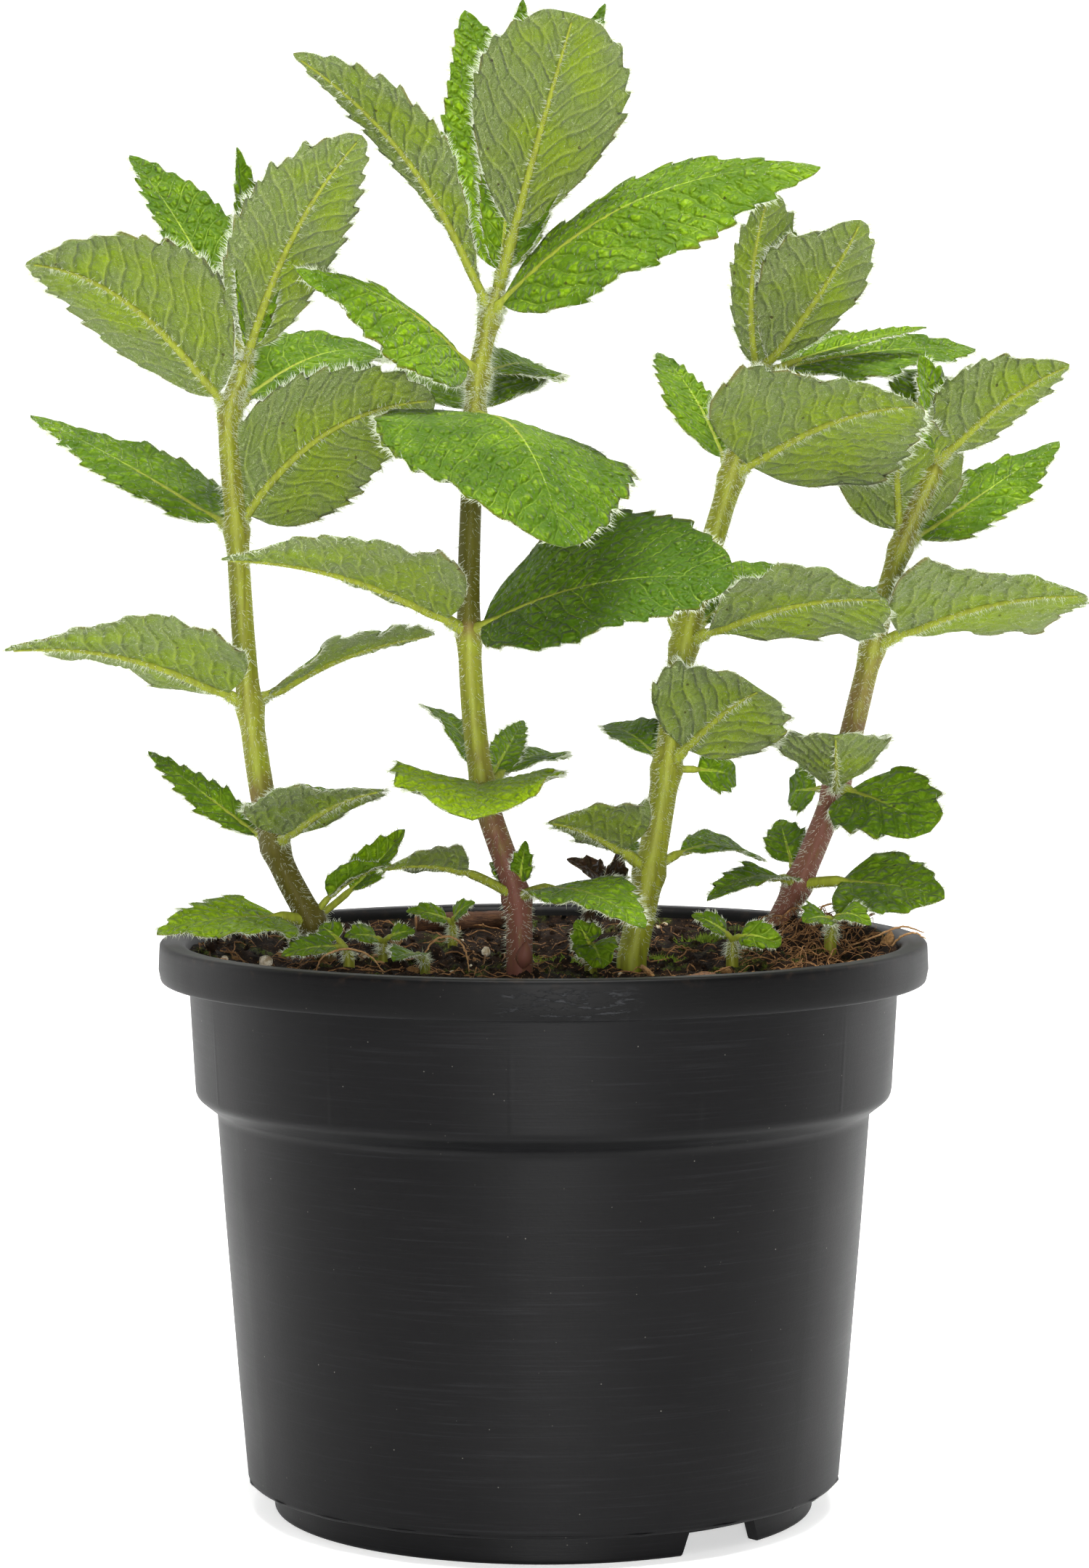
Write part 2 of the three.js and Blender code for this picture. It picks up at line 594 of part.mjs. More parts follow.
function soilSolid(grown) {
  const sectors = potFacets;
  const topRadius = collarRadius - wallThickness - gap;
  const circle = (radius, height) => Array.from({ length: sectors }, (_, j) => {
    const angle = (2 * Math.PI * j) / sectors;
    const [x, y] = [radius * Math.sin(angle), -radius * Math.cos(angle)];
    return new THREE.Vector3(x, y, height ?? soilHeight(x, y));
  });
  const bottom = floorUnderside + wallThickness + gap;
  const bottomRadius = wallFootRadius - wallThickness - floorFillet - gap;
  const rings = [circle(0.5, bottom), circle(bottomRadius, bottom)];
  for (const [radius, height] of insideProfile.slice(0, 3)) {
    rings.push(circle(radius - gap, height + (height < chamferFoot ? 0 : 0.3)));
  }
  rings.push(circle(topRadius));
  for (const share of soilRings) rings.push(circle(topRadius * share));
  let soil = solidOf(loft(rings));
  for (const stem of grown) {
    const [x, y, z] = stem.nodes[0];
    const depth = rootDepth * Math.min(1, stem.radius / 2) + gap;
    const bore = stem.radius * (1 + stemSquareness) + gap;
    soil = soil.subtract(cylinderAt(x, y, z + 10 - depth / 2, bore, depth + 20));
  }
  return soil;
}

function twigGeometry() {
  const [from, to] = [vector(twig.from), vector(twig.to)];
  const body = new THREE.CylinderGeometry(twig.radius * 0.92, twig.radius, from.distanceTo(to), 10, 2);
  const turn = new THREE.Quaternion()
    .setFromUnitVectors(new THREE.Vector3(0, 1, 0), to.clone().sub(from).normalize());
  body.applyQuaternion(turn);
  body.translate(...from.add(to).multiplyScalar(0.5).toArray());
  return geometryOf(solidOf(body));
}

const plant = new THREE.Group();

function addMesh(name, geometry, colour, roughness = 0.6) {
  const material = new THREE.MeshStandardMaterial({ color: colour, roughness, metalness: 0 });
  const mesh = new THREE.Mesh(geometry, material);
  mesh.name = name;
  plant.add(mesh);
  return mesh;
}

addMesh('pot', geometryOf(potSolid()), colours.pot, 0.45);
const rooted = [...Object.values(stems), ...Object.values(sprouts), witheredShoot];
addMesh('potting_mix', geometryOf(soilSolid(rooted)), colours.soil, 0.95);
for (const [name, stem] of Object.entries(stems)) {
  addMesh(name, geometryOf(growth(stem)), colours.leaf);
}
for (const [name, sprout] of Object.entries(sprouts)) {
  addMesh(name, geometryOf(growth(sprout)), colours.sprout);
}
addMesh('withered_shoot', geometryOf(growth(witheredShoot)), colours.withered, 0.9);
addMesh('twig', twigGeometry(), colours.wood, 0.9);
barkChips.forEach(({ at, size, turn }, i) => {
  const chip = addMesh(`bark_chip_${i + 1}`, new THREE.BoxGeometry(...size), colours.bark, 0.9);
  chip.position.set(...at);
  chip.rotation.z = THREE.MathUtils.degToRad(turn);
});

export default plant;
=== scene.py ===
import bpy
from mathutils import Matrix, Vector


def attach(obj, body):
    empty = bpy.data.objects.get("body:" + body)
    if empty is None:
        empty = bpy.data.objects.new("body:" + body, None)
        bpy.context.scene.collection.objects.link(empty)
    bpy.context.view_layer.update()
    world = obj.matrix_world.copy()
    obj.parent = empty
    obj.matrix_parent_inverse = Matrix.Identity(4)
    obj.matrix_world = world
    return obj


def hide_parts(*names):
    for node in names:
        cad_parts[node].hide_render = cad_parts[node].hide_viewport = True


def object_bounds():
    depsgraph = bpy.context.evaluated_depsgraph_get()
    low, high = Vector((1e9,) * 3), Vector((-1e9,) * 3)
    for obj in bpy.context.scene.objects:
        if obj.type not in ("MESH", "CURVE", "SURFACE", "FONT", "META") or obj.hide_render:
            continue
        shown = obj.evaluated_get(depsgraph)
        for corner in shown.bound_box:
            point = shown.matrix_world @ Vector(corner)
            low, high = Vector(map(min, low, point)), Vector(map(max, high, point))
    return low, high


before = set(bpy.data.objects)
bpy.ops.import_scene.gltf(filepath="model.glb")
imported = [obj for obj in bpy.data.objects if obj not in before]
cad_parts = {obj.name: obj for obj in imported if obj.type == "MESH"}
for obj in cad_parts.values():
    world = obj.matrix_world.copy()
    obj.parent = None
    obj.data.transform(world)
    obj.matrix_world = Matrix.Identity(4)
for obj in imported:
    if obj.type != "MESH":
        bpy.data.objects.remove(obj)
cadBox = [list(corner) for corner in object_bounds()]

import math
import bmesh
import bpy
import numpy as np
from mathutils import Vector, noise

# A mint plant in its black nursery pot. Lengths in the tables are millimetres, as in the part's
# own source; meshes are written in metres.
mm = 0.001
print("frame loaded")


def paint(code):
    # a colour as a picture editor writes it, made linear
    channels = [int(code[i:i + 2], 16) / 255 for i in (1, 3, 5)]
    return (*[c / 12.92 if c < 0.04045 else ((c + 0.055) / 1.055) ** 2.4 for c in channels], 1.0)


# Finishes

class Sock:
    # a node's output that takes part in ordinary arithmetic
    def __init__(self, finish, link):
        self.finish, self.link = finish, link

    def math(self, operation, *values):
        vectors = any(isinstance(v, Sock) and v.link.type == "VECTOR" for v in values)
        kind = "ShaderNodeVectorMath" if vectors else "ShaderNodeMath"
        return self.finish.node(kind, {"operation": operation}, dict(enumerate(values)))

    def __add__(self, other): return self.math("ADD", self, other)
    def __radd__(self, other): return self.math("ADD", other, self)
    def __sub__(self, other): return self.math("SUBTRACT", self, other)
    def __rsub__(self, other): return self.math("SUBTRACT", other, self)
    def __mul__(self, other): return self.math("MULTIPLY", self, other)
    def __rmul__(self, other): return self.math("MULTIPLY", other, self)
    def __abs__(self): return self.math("ABSOLUTE", self)
    def fract(self): return self.math("FRACT", self)
    def floor(self): return self.math("FLOOR", self)
    def sine(self): return self.math("SINE", self)


class Finish:
    # one material; colours may be given as a picture editor's codes
    def __init__(self, name, **shaderValues):
        self.material = bpy.data.materials.new(name)
        self.material.use_nodes = True
        self.tree = self.material.node_tree
        self.tree.nodes.clear()
        self.shader = self.tree.nodes.new("ShaderNodeBsdfPrincipled")
        self.output = self.tree.nodes.new("ShaderNodeOutputMaterial")
        self.tree.links.new(self.shader.outputs[0], self.output.inputs["Surface"])
        for socket, value in shaderValues.items():
            self.shader.inputs[socket.replace("_", " ")].default_value = value

    def fill(self, node, values):
        for key, value in values.items():
            socket = node.inputs[key]
            if isinstance(value, Sock):
                self.tree.links.new(value.link, socket)
            else:
                socket.default_value = paint(value) if isinstance(value, str) else value

    def node(self, kind, settings=None, values=None, output=0):
        made = self.tree.nodes.new(kind)
        for key, value in (settings or {}).items():
            setattr(made, key, value)
        self.fill(made, values or {})
        return Sock(self, made.outputs[output])

    def mix(self, factor, first, second):
        return self.node("ShaderNodeMix", {"data_type": "RGBA"}, {0: factor, 6: first, 7: second}, output=2)

    def step(self, value, low, high):
        # 0 below low, 1 above high, smooth between, either way round
        return self.node("ShaderNodeMapRange", {"interpolation_type": "SMOOTHSTEP"},
                         {"Value": value, "From Min": low, "From Max": high})

    def part(self, vector, axis):
        return self.node("ShaderNodeSeparateXYZ", None, {0: vector}, output=axis)

    def field(self, name):
        return self.node("ShaderNodeAttribute", {"attribute_name": name}, output="Vector")

    def scaled(self, vector, scale):
        return self.node("ShaderNodeVectorMath", {"operation": "MULTIPLY"}, {0: vector, 1: scale})

    def place(self, scale=1 / mm):
        # where on the object, in millimetres
        return self.scaled(self.node("ShaderNodeTexCoord", output="Object"), (scale, scale, scale))

    def shaken(self, vector, scale, reach):
        # the same places, each moved a little by a cloud
        shift = {0: (1, 1, 1), 3: (self.cloud(vector, scale, 2) - 0.5) * reach}
        return vector + self.node("ShaderNodeVectorMath", {"operation": "SCALE"}, shift)

    def cloud(self, vector, scale, detail=3.0, rough=0.55):
        return self.node("ShaderNodeTexNoise", None,
                         {"Vector": vector, "Scale": scale, "Detail": detail, "Roughness": rough})

    def cells(self, vector, scale, **settings):
        values = {"Vector": vector, "Scale": scale}
        return self.node("ShaderNodeTexVoronoi", settings, values, output="Distance")

    def bump(self, height, strength, distance, under=None):
        values = {"Height": height, "Strength": strength, "Distance": distance}
        if under is not None:
            values["Normal"] = under
        return self.node("ShaderNodeBump", None, values)

    def wear(self, **values):
        self.fill(self.shader, {key.replace("_", " "): value for key, value in values.items()})

    def letLightThrough(self, colour, share):
        glow = self.node("ShaderNodeBsdfTranslucent", None, {"Color": colour})
        surface = Sock(self, self.shader.outputs[0])
        blend = self.node("ShaderNodeMixShader", None, {0: share, 1: surface, 2: glow})
        self.tree.links.new(blend.link, self.output.inputs["Surface"])


# Mesh making

def makePiece(name, points, faces, material, slotName, fields=None, smooth=True, replaced=()):
    # faces is a list of arrays of point numbers, each array with one count of corners; nothing
    # passes the part's own box
    points = np.clip(np.asarray(points, float) * mm, cadBox[0], cadBox[1])
    faces = [np.asarray(f, np.int64) for f in faces if len(f)]
    loops = np.concatenate([f.ravel() for f in faces]).astype(np.int32)
    sizes = np.concatenate([np.full(len(f), f.shape[1]) for f in faces])
    mesh = bpy.data.meshes.new(name)
    mesh.vertices.add(len(points))
    mesh.vertices.foreach_set("co", points.ravel().astype(np.float32))
    mesh.loops.add(len(loops))
    mesh.loops.foreach_set("vertex_index", loops)
    mesh.polygons.add(len(sizes))
    mesh.polygons.foreach_set("loop_start", np.concatenate([[0], np.cumsum(sizes)[:-1]]).astype(np.int32))
    for field, values in (fields or {}).items():
        layer = mesh.attributes.new(field, "FLOAT_VECTOR", "POINT")
        layer.data.foreach_set("vector", np.asarray(values, np.float32).ravel())
    mesh.update(calc_edges=True)
    mesh.validate()
    mesh.polygons.foreach_set("use_smooth", np.full(len(mesh.polygons), smooth))
    mesh.materials.append(material)
    piece = bpy.data.objects.new(name, mesh)
    bpy.context.scene.collection.objects.link(piece)
    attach(piece, "root")
    if replaced:
        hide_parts(*replaced)
    return piece


class Heap:
    # meshes gathered into one piece
    def __init__(self):
        self.points, self.faces, self.fields, self.count = [], {}, {}, 0

    def add(self, points, faces, **fields):
        for f in faces:
            f = np.asarray(f, np.int64)
            if len(f):
                self.faces.setdefault(f.shape[1], []).append(f + self.count)
        self.points.append(points)
        for key, values in fields.items():
            values = np.asarray(values, float)
            if values.ndim == 1:
                values = np.tile(values, (len(points), 1))
            self.fields.setdefault(key, []).append(values)
        self.count += len(points)

    def make(self, name, material, slotName, **rest):
        faces = [np.concatenate(f) for f in self.faces.values()]
        fields = {key: np.concatenate(values) for key, values in self.fields.items()}
        return makePiece(name, np.concatenate(self.points), faces, material, slotName, fields, **rest)


def unit(vectors):
    return vectors / np.maximum(np.linalg.norm(vectors, axis=-1, keepdims=True), 1e-9)


def across(vectors, ways):
    # the part of each vector that is square to its way
    return unit(vectors - ways * np.sum(vectors * ways, axis=-1, keepdims=True))


def ringFaces(count, ring):
    # faces between rings of points, closed by a fan to a point at either end
    i, j = np.meshgrid(np.arange(count - 1), np.arange(ring), indexing="ij")
    nextJ = (j + 1) % ring
    quads = np.stack([i * ring + j, i * ring + nextJ, (i + 1) * ring + nextJ, (i + 1) * ring + j], -1)
    edge = np.arange(ring)
    after, last = (edge + 1) % ring, (count - 1) * ring
    return [quads.reshape(-1, 4), np.concatenate([
        np.stack([np.full(ring, count * ring), after, edge], -1),
        np.stack([np.full(ring, count * ring + 1), last + edge, last + after], -1)])]


def sheetFaces(rows, columns, order=(0, 1, 2, 3)):
    # both sides of a sheet of points and the wall round it; the far side's points come second
    i, j = np.meshgrid(np.arange(rows - 1), np.arange(columns - 1), indexing="ij")
    corner, total = i * columns + j, rows * columns
    quads = np.stack([corner, corner + 1, corner + columns + 1, corner + columns], -1)
    quads = quads.reshape(-1, 4)[:, order]
    rim = np.concatenate([np.arange(columns), columns * np.arange(2, rows) - 1,
                          total - 1 - np.arange(columns), columns * np.arange(rows - 2, 0, -1)])
    ahead = np.roll(rim, -1)
    wall = np.stack([rim, rim + total, ahead + total, ahead], -1)[:, order]
    return [quads, quads[:, ::-1] + total, wall]


def tubeMesh(path, radii, sides=8, section=None, start=(0, 1, 0)):
    # a closed tube along a path of points; section scales the radius round the tube
    path = np.asarray(path, float)
    ways = unit(np.gradient(path, axis=0))
    right = np.zeros_like(path)
    guide = np.asarray(start, float)
    for i, way in enumerate(ways):
        guide = guide - way * guide.dot(way)
        guide = guide / np.linalg.norm(guide)
        right[i] = guide
    front = np.cross(ways, right)
    turn = np.arange(sides) * 2 * np.pi / sides
    shape = np.ones(sides) if section is None else section(turn)
    rim = (right[:, None] * np.cos(turn)[None, :, None] + front[:, None] * np.sin(turn)[None, :, None])
    points = path[:, None] + rim * (np.asarray(radii)[:, None] * shape)[..., None]
    return np.concatenate([points.reshape(-1, 3), path[:1], path[-1:]]), ringFaces(len(path), sides)


def smoothPath(knots, steps):
    # centripetal Catmull-Rom curve through the knots, as the part's own stems have
    knots = np.asarray(knots, float)
    padded = np.concatenate([[2 * knots[0] - knots[1]], knots, [2 * knots[-1] - knots[-2]]])
    gaps = np.sqrt(np.linalg.norm(np.diff(padded, axis=0), axis=1))
    pieces = []
    for i in range(len(knots) - 1):
        a, b, c, d = padded[i:i + 4]
        g0, g1, g2 = gaps[i:i + 3]
        leave = ((b - a) / g0 - (c - a) / (g0 + g1) + (c - b) / g1) * g1
        arrive = ((c - b) / g1 - (d - b) / (g1 + g2) + (d - c) / g2) * g1
        t = np.linspace(0, 1, steps, endpoint=False)[:, None]
        pieces.append((2 * t**3 - 3 * t**2 + 1) * b + (t**3 - 2 * t**2 + t) * leave
                      + (3 * t**2 - 2 * t**3) * c + (t**3 - t**2) * arrive)
    return np.concatenate([*pieces, knots[-1:]])


# Finishes of the plant

def leafFinish(name, flesh, deep, vein, under, underVein, felt, glow, lit):
    # leafPlace is millimetres along and across the blade, leafVein the mesh of veins that the blade
    # was raised by, leafLook the side, the way out to the edge and the leaf's tone, with painted glow and
    # shade
    f = Finish(name, IOR=1.42, Specular_IOR_Level=0.16, Sheen_Weight=0.1, Sheen_Roughness=0.3)
    place, grid, look = f.field("leafPlace"), f.field("leafVein"), f.field("leafLook")
    along, fromRib, seed = f.part(grid, 2), abs(f.part(place, 1)), f.part(place, 2)
    underSide, reach, tone = f.part(look, 0), f.part(look, 1), f.part(look, 2)
    patches, speckle = f.cloud(place, 0.16, 3), f.cloud(place, 3.2, 2)
    drift = f.cloud(place, 0.55, 2) - 0.5
    strip = f.part(grid, 0) + drift * 0.25
    cross = f.part(grid, 1) + (strip.floor() * 2.4 + seed).sine() * 0.5 + drift * 0.6
    toVein, toCross = abs((strip + 0.5).fract() - 0.5), abs((cross + 0.5).fract() - 0.5)
    inner = f.step(reach, 1.0, 0.78)
    sideVein = f.step(toVein, 0.05, 0.015) * inner
    crossVein = f.step(toCross, 0.06, 0.015) * inner
    midrib = f.step(fromRib + along * 0.5, underSide * 0.2 + 0.52, underSide * 0.15 + 0.3)
    mesh = f.cells(f.shaken(place, 1.3, 0.5), 0.85, feature="DISTANCE_TO_EDGE")
    fineVeinShade, bubble = f.step(mesh, 0.1, 0.0), f.step(mesh, 0.0, 0.42)
    pillows = f.cells(f.shaken(place, 0.6, 1.0), 0.44, feature="DISTANCE_TO_EDGE")
    crease = 1 - (1 - f.step(toVein, 0.28, 0.01)) * (1 - f.step(toCross, 0.28, 0.01) * 0.5) * (
        1 - f.step(pillows, 0.26, 0.02) * 0.8)
    lined = f.step(patches, 0.4, 0.62)
    shade = f.step(patches + tone, 0.15, 0.75)

    # upper side: pillows with painted highlight on their tops, painted shade in the creases between them and
    # along the fine veins, and thin pale veins down the creases
    # painted glow: leaves with a high tone are lit up towards the colour of light coming through them
    body = f.mix(f.step(tone, 0.5, 1.4) * 0.7, f.mix(shade, deep, flesh), glow)
    # painted shade: the creases are darkened towards a near-black green, less on the glowing leaves
    body = f.mix(crease * (0.78 - f.step(tone, 0.5, 1.4) * 0.4), body, f.mix(0.35, deep, "#16230a"))
    # painted shade along the fine vein mesh of the upper side
    body = f.mix(fineVeinShade * 0.55, body, deep)
    # painted highlight: the pillow tops away from the creases are lightened towards the vein colour
    body = f.mix(bubble * (1 - crease) * 0.3, body, vein)
    veins = 1 - (1 - sideVein * (lined * 0.45 + 0.12)) * (1 - crossVein * (lined * 0.3 + 0.03)) * (1 - midrib)
    upper = f.mix(veins * 0.68, body, vein)

    # under side: raised pale veins, a felt of white curled hairs, patches of painted glow where light shines
    # through, and painted shade along the fine veins
    low = f.mix(shade, f.mix(0.45, under, deep), under)
    ribs = 1 - (1 - f.step(toVein, 0.1, 0.02) * inner * 0.8) * (1 - midrib) * (1 - crossVein * 0.35)
    backlitPatches = f.step(f.cloud(place, 0.1, 3) - f.step(reach, 0.4, 1.0) * 0.14, 0.34, 0.68)
    # painted glow: patches of the under side are lit towards the colour of light coming through
    low = f.mix(backlitPatches * 0.85, low, f.mix(0.5, under, glow))
    # painted shade along the fine vein mesh of the under side
    low = f.mix(fineVeinShade * 0.3, low, deep)
    curls = f.step(abs((f.cloud(place, 0.9, 1.5) * 9).fract() - 0.5), 0.2, 0.04)
    moreCurls = f.step(abs((f.cloud(f.scaled(place, (1, -1, 1)), 1.2, 1.5) * 8).fract() - 0.5), 0.2, 0.04)
    fibres = 1 - (1 - curls) * (1 - moreCurls)
    lower = f.mix((1 - backlitPatches) * 0.4 + 0.04, f.mix(ribs * 0.42, low, underVein), felt)
    lower = f.mix(fibres * (0.34 - backlitPatches * 0.14), lower, "#b2ba8e")

    colour = f.mix(underSide, upper, lower)
    rust = f.step(reach, 0.95, 1.0) * f.step(patches, 0.4, 0.6) * 0.5
    colour = f.mix(rust, colour, "#7a5a34")
    crumb = f.cells(place, 0.14, voronoi_dimensions="2D")
    colour = f.mix(f.step(crumb, 0.045, 0.025) * f.step(patches, 0.48, 0.52) * 0.85, colour, "#3a2a1c")
    wideRib = 1 - (1 - f.step(toVein, 0.3, 0.02)) * (1 - f.step(toCross, 0.3, 0.02) * 0.6)
    height = (1 - underSide) * ((1 - crease) + bubble * 0.25 + speckle * 0.1) + underSide * (
        wideRib + fibres * 0.22)
    f.wear(Base_Color=colour, Roughness=underSide * 0.3 + crease * 0.2 + speckle * 0.12 + 0.32,
           Normal=f.bump(height, 1.0, 0.6 * mm))
    f.letLightThrough(glow, (1 - veins * 0.5) * (1 - crease * 0.5) * (
        1 + underSide * (backlitPatches * 0.7 - 0.88)) * lit)
    return f.material


def stemFinish(name, green, shade, purple, rib):
    # stemLook is the way down to the foot, how stained the stem is together with painted shade on its shaded
    # stretches, and its grooves
    f = Finish(name, IOR=1.4, Specular_IOR_Level=0.2)
    look = f.field("stemLook")
    spot = f.place()
    streak = f.cloud(f.scaled(spot, (1, 1, 0.09)), 1.5, 4)
    blotch = f.cloud(spot, 0.22, 4)
    body = f.mix(f.step(streak, 0.3, 0.7), shade, green)
    body = f.mix(f.part(look, 2) * 0.5, body, rib)
    stainAndShade = f.part(look, 1) * f.step(blotch + streak * 0.4 + f.part(look, 1) * 0.4, 0.5, 0.9)
    foot = f.step(f.part(look, 0) + (blotch - 0.5) * 0.5, 0.1, 0.6)
    colour = f.mix(foot, body, f.mix(f.step(streak, 0.5, 0.8) * 0.5, purple, shade))
    # a high stain value turns the stem dark olive, which is painted shade; lower values stain it purple
    colour = f.mix(stainAndShade, colour, f.mix(f.step(f.part(look, 1), 0.6, 0.9), purple,
                                        f.mix(streak, "#5c5a1c", "#3c3412")))
    grain = f.cloud(f.scaled(spot, (1, 1, 0.2)), 5, 3)
    f.wear(Base_Color=colour, Roughness=0.42 + blotch * 0.2, Normal=f.bump(grain, 0.5, 0.15 * mm))
    f.letLightThrough("#b9c850", 0.1)
    return f.material


def downFinish(name, pale, dark):
    f = Finish(name, IOR=1.4)
    tint = f.cloud(f.place(), 0.3, 2)
    f.wear(Base_Color=f.mix(tint, pale, dark), Roughness=0.45 + tint * 0.2)
    f.letLightThrough("#dfe6c8", 0.3)
    return f.material


finishes = {
    "leaf": leafFinish("mintLeaf", "#88b00c", "#42640a", "#aac040", "#526213", "#9cac38", "#7e8e54",
                       "#acc80a", 0.36),
    "young": leafFinish("youngLeaf", "#86aa16", "#50740e", "#b6c848", "#687e1b", "#a2ae42", "#86965a",
                        "#aecc12", 0.34),
    "withered": leafFinish("witheredLeaf", "#43301f", "#231912", "#5d4630", "#4b3826", "#6c5438", "#6c5a44",
                           "#5a4020", 0.05),
    "stem": stemFinish("mintStem", "#89941e", "#64671a", "#6c443a", "#a6b04c"),
    "deadStem": stemFinish("witheredStem", "#4a3626", "#2c2018", "#33231b", "#5c4632"),
    "down": downFinish("mintDown", "#e8ecdc", "#c6cdb0"),
}
print("finishes made")


# Leaves

leafMake = {
    "columns": 29, "stationsPerTooth": 6, "thickness": 0.42,
    "toothSpacing": 3.7, "toothDepth": 1.25, "toothLean": 1.1,
    "veinSpacing": 3.7, "veinLean": 0.85, "veinBend": 0.012, "crossSpacing": 2.3,
    "warp": 0.6, "quilt": 0.66, "rib": 0.22, "midribGroove": 0.45, "wave": 0.06, "ruffle": 0.22,
    "petiole": 1.1,
    "grownWidth": 22,  # narrower leaves have finer teeth, veins and relief
    # hairs for each millimetre of edge, of midrib, and each square millimetre of both faces
    "edgeHairs": 9.5, "ribHairs": 10, "upperHairs": 0.3, "underHairs": 0.62,
    "hairWidth": 0.11, "fluffWidth": 0.07,
}


def leafAt(node, tip, width, up, arch, stalk, **rest):
    # a leaf from stem node to tip; up is where its upper side looks, arch and sway bow its midrib,
    # stalk is its bare length, fold lifts its halves and curl adds to that where the blade is wide;
    # wide, blunt, halves and round give its outline, and its tone value makes it lighter or darker;
    # on some leaves that is painted glow where light comes through, on one painted shade where it lies in
    # shade
    return dict(at=node, tip=tip, width=width, up=up, arch=arch, stalk=stalk, **rest)


def leafShape(leaf, start):
    # the leaf's midrib, frame and half width, by the same rule as the part's own blades
    tip, up = np.array(leaf["tip"], float), np.array(leaf["up"], float)
    chord = tip - start
    length = np.linalg.norm(chord)
    facing = across(up, chord / length)
    side = np.cross(chord / length, facing)
    control = start + chord / 2 + 2 * leaf["arch"] * facing + 2 * leaf.get("sway", 0) * side
    rounded = leaf.get("round", False)
    skew = math.log(0.5) / math.log(leaf.get("wide", 0.44 if rounded else 0.38))
    blunt = leaf.get("blunt", 0.5 if rounded else 0.75)
    bladeStart = leaf["stalk"] / length

    def along(s):
        s = np.asarray(s, float)[:, None]
        point = (1 - s) ** 2 * start + 2 * s * (1 - s) * control + s**2 * tip
        way = unit(2 * (1 - s) * (control - start) + 2 * s * (tip - control))
        normal = across(np.broadcast_to(facing, way.shape), way)
        return point, way, normal, np.cross(way, normal)

    def outline(u):
        return np.sin(np.pi * np.clip(u, 0, 1) ** skew) ** blunt

    return length, bladeStart, along, outline


def leafTeeth(u, count, rng):
    # how far each tooth stands out along an edge, 0 to 1: a long back and a short, steep front
    place = u * count
    number = np.minimum(place.astype(int), count - 1)
    t = place - number
    profile = np.where(t < 0.8, (t / 0.8) ** 1.6, 1 - (np.maximum(t - 0.8, 0) / 0.2) ** 0.8)
    return profile * rng.uniform(0.45, 1.15, count)[number]


def leafPattern(x, lateral, size, seed):
    # side veins leave the midrib and bend forwards; cross veins part the strips between them
    m = leafMake
    grain = 0.5 + 0.5 * size
    d = np.abs(lateral)
    bent = x + m["warp"] * grain * np.sin(0.8 * lateral / grain + seed)
    out = d + m["warp"] * grain * np.sin(0.95 * x / grain + 1.3 * seed + (lateral > 0))
    vein = (bent - m["veinLean"] * d - m["veinBend"] * d**2) / (m["veinSpacing"] * grain) + 0.3 * seed
    vein = vein + 0.4 * (lateral > 0)
    cross = out / (m["crossSpacing"] * grain)
    return vein, cross


def growRib(along, bladeStart, size, stalks):
    # the petiole, running on under the blade as its midrib
    s = np.concatenate([np.linspace(0, bladeStart, 8, endpoint=False), np.linspace(bladeStart, 0.97, 24)])
    point, way, normal, side = along(s)
    gone = np.clip((s - bladeStart) / (1 - bladeStart), 0, 1)
    radius = np.where(s < bladeStart, 1.0, 0.62 * (1 - gone) ** 0.8 + 0.1)
    radius = leafMake["petiole"] * (0.35 + 0.65 * size) * radius
    sink = np.clip(gone * 12, 0, 1) * (0.5 * radius + 0.25 * size)
    line = point - normal * sink[:, None]
    stalks.add(*tubeMesh(line, radius, start=normal[0]), stemLook=(0.0, 0.02, 0.6))
    return line, way, normal, side, radius


def edgeDown(middle, way, side, number, longest, rng):
    # hairs that stand out from both edges of a blade
    rows = rng.integers(0, len(middle) - 2, number)
    share = rng.uniform(0, 1, (number, 1))
    for first, sign, column in ((0, -1, 0), (1, 1, -1)):
        row, t = rows[first::2], share[first::2]
        root = middle[row, column] * (1 - t) + middle[row + 1, column] * t
        out = side[row] * sign + way[row] * 0.5 + rng.normal(0, 0.4, (len(row), 3))
        yield root, unit(out), rng.uniform(0.6, 1.9, len(row)) * longest, leafMake["hairWidth"]


def faceDown(surface, sheet, way, number, stand, share, longest, rng):
    # shorter, leaning hairs on one face; stand is how upright they are, below 0 under the blade
    rows = rng.integers(1, len(surface) - 1, number)
    cols = rng.integers(1, surface.shape[1] - 1, number)
    root = surface[rows, cols] + rng.uniform(-0.3, 0.3, (number, 1)) * way[rows]
    out = sheet[rows, cols] * stand + way[rows] * 0.6 + rng.normal(0, 0.4, (number, 3))
    return root, unit(out), rng.uniform(0.3, 1.0, number) * share * longest, leafMake["fluffWidth"]


def ribDown(rib, number, longest, rng):
    # the longest hairs, round the petiole and under the midrib
    line, way, normal, side, radius = rib
    last = len(line) - 3
    rows = np.minimum((rng.uniform(0, 1, number) ** 1.6 * last).astype(int) + 1, last)
    turn = rng.uniform(0, 2 * np.pi, number)
    out = unit(side[rows] * np.cos(turn)[:, None] - normal[rows] * np.abs(np.sin(turn))[:, None])
    root = line[rows] + out * radius[rows, None] * 0.9 + way[rows] * rng.uniform(-0.6, 0.6, (number, 1))
    out = unit(out + 0.3 * way[rows] + rng.normal(0, 0.25, (number, 3)))
    return root, out, rng.uniform(0.5, 1.5, number) * longest, leafMake["hairWidth"]


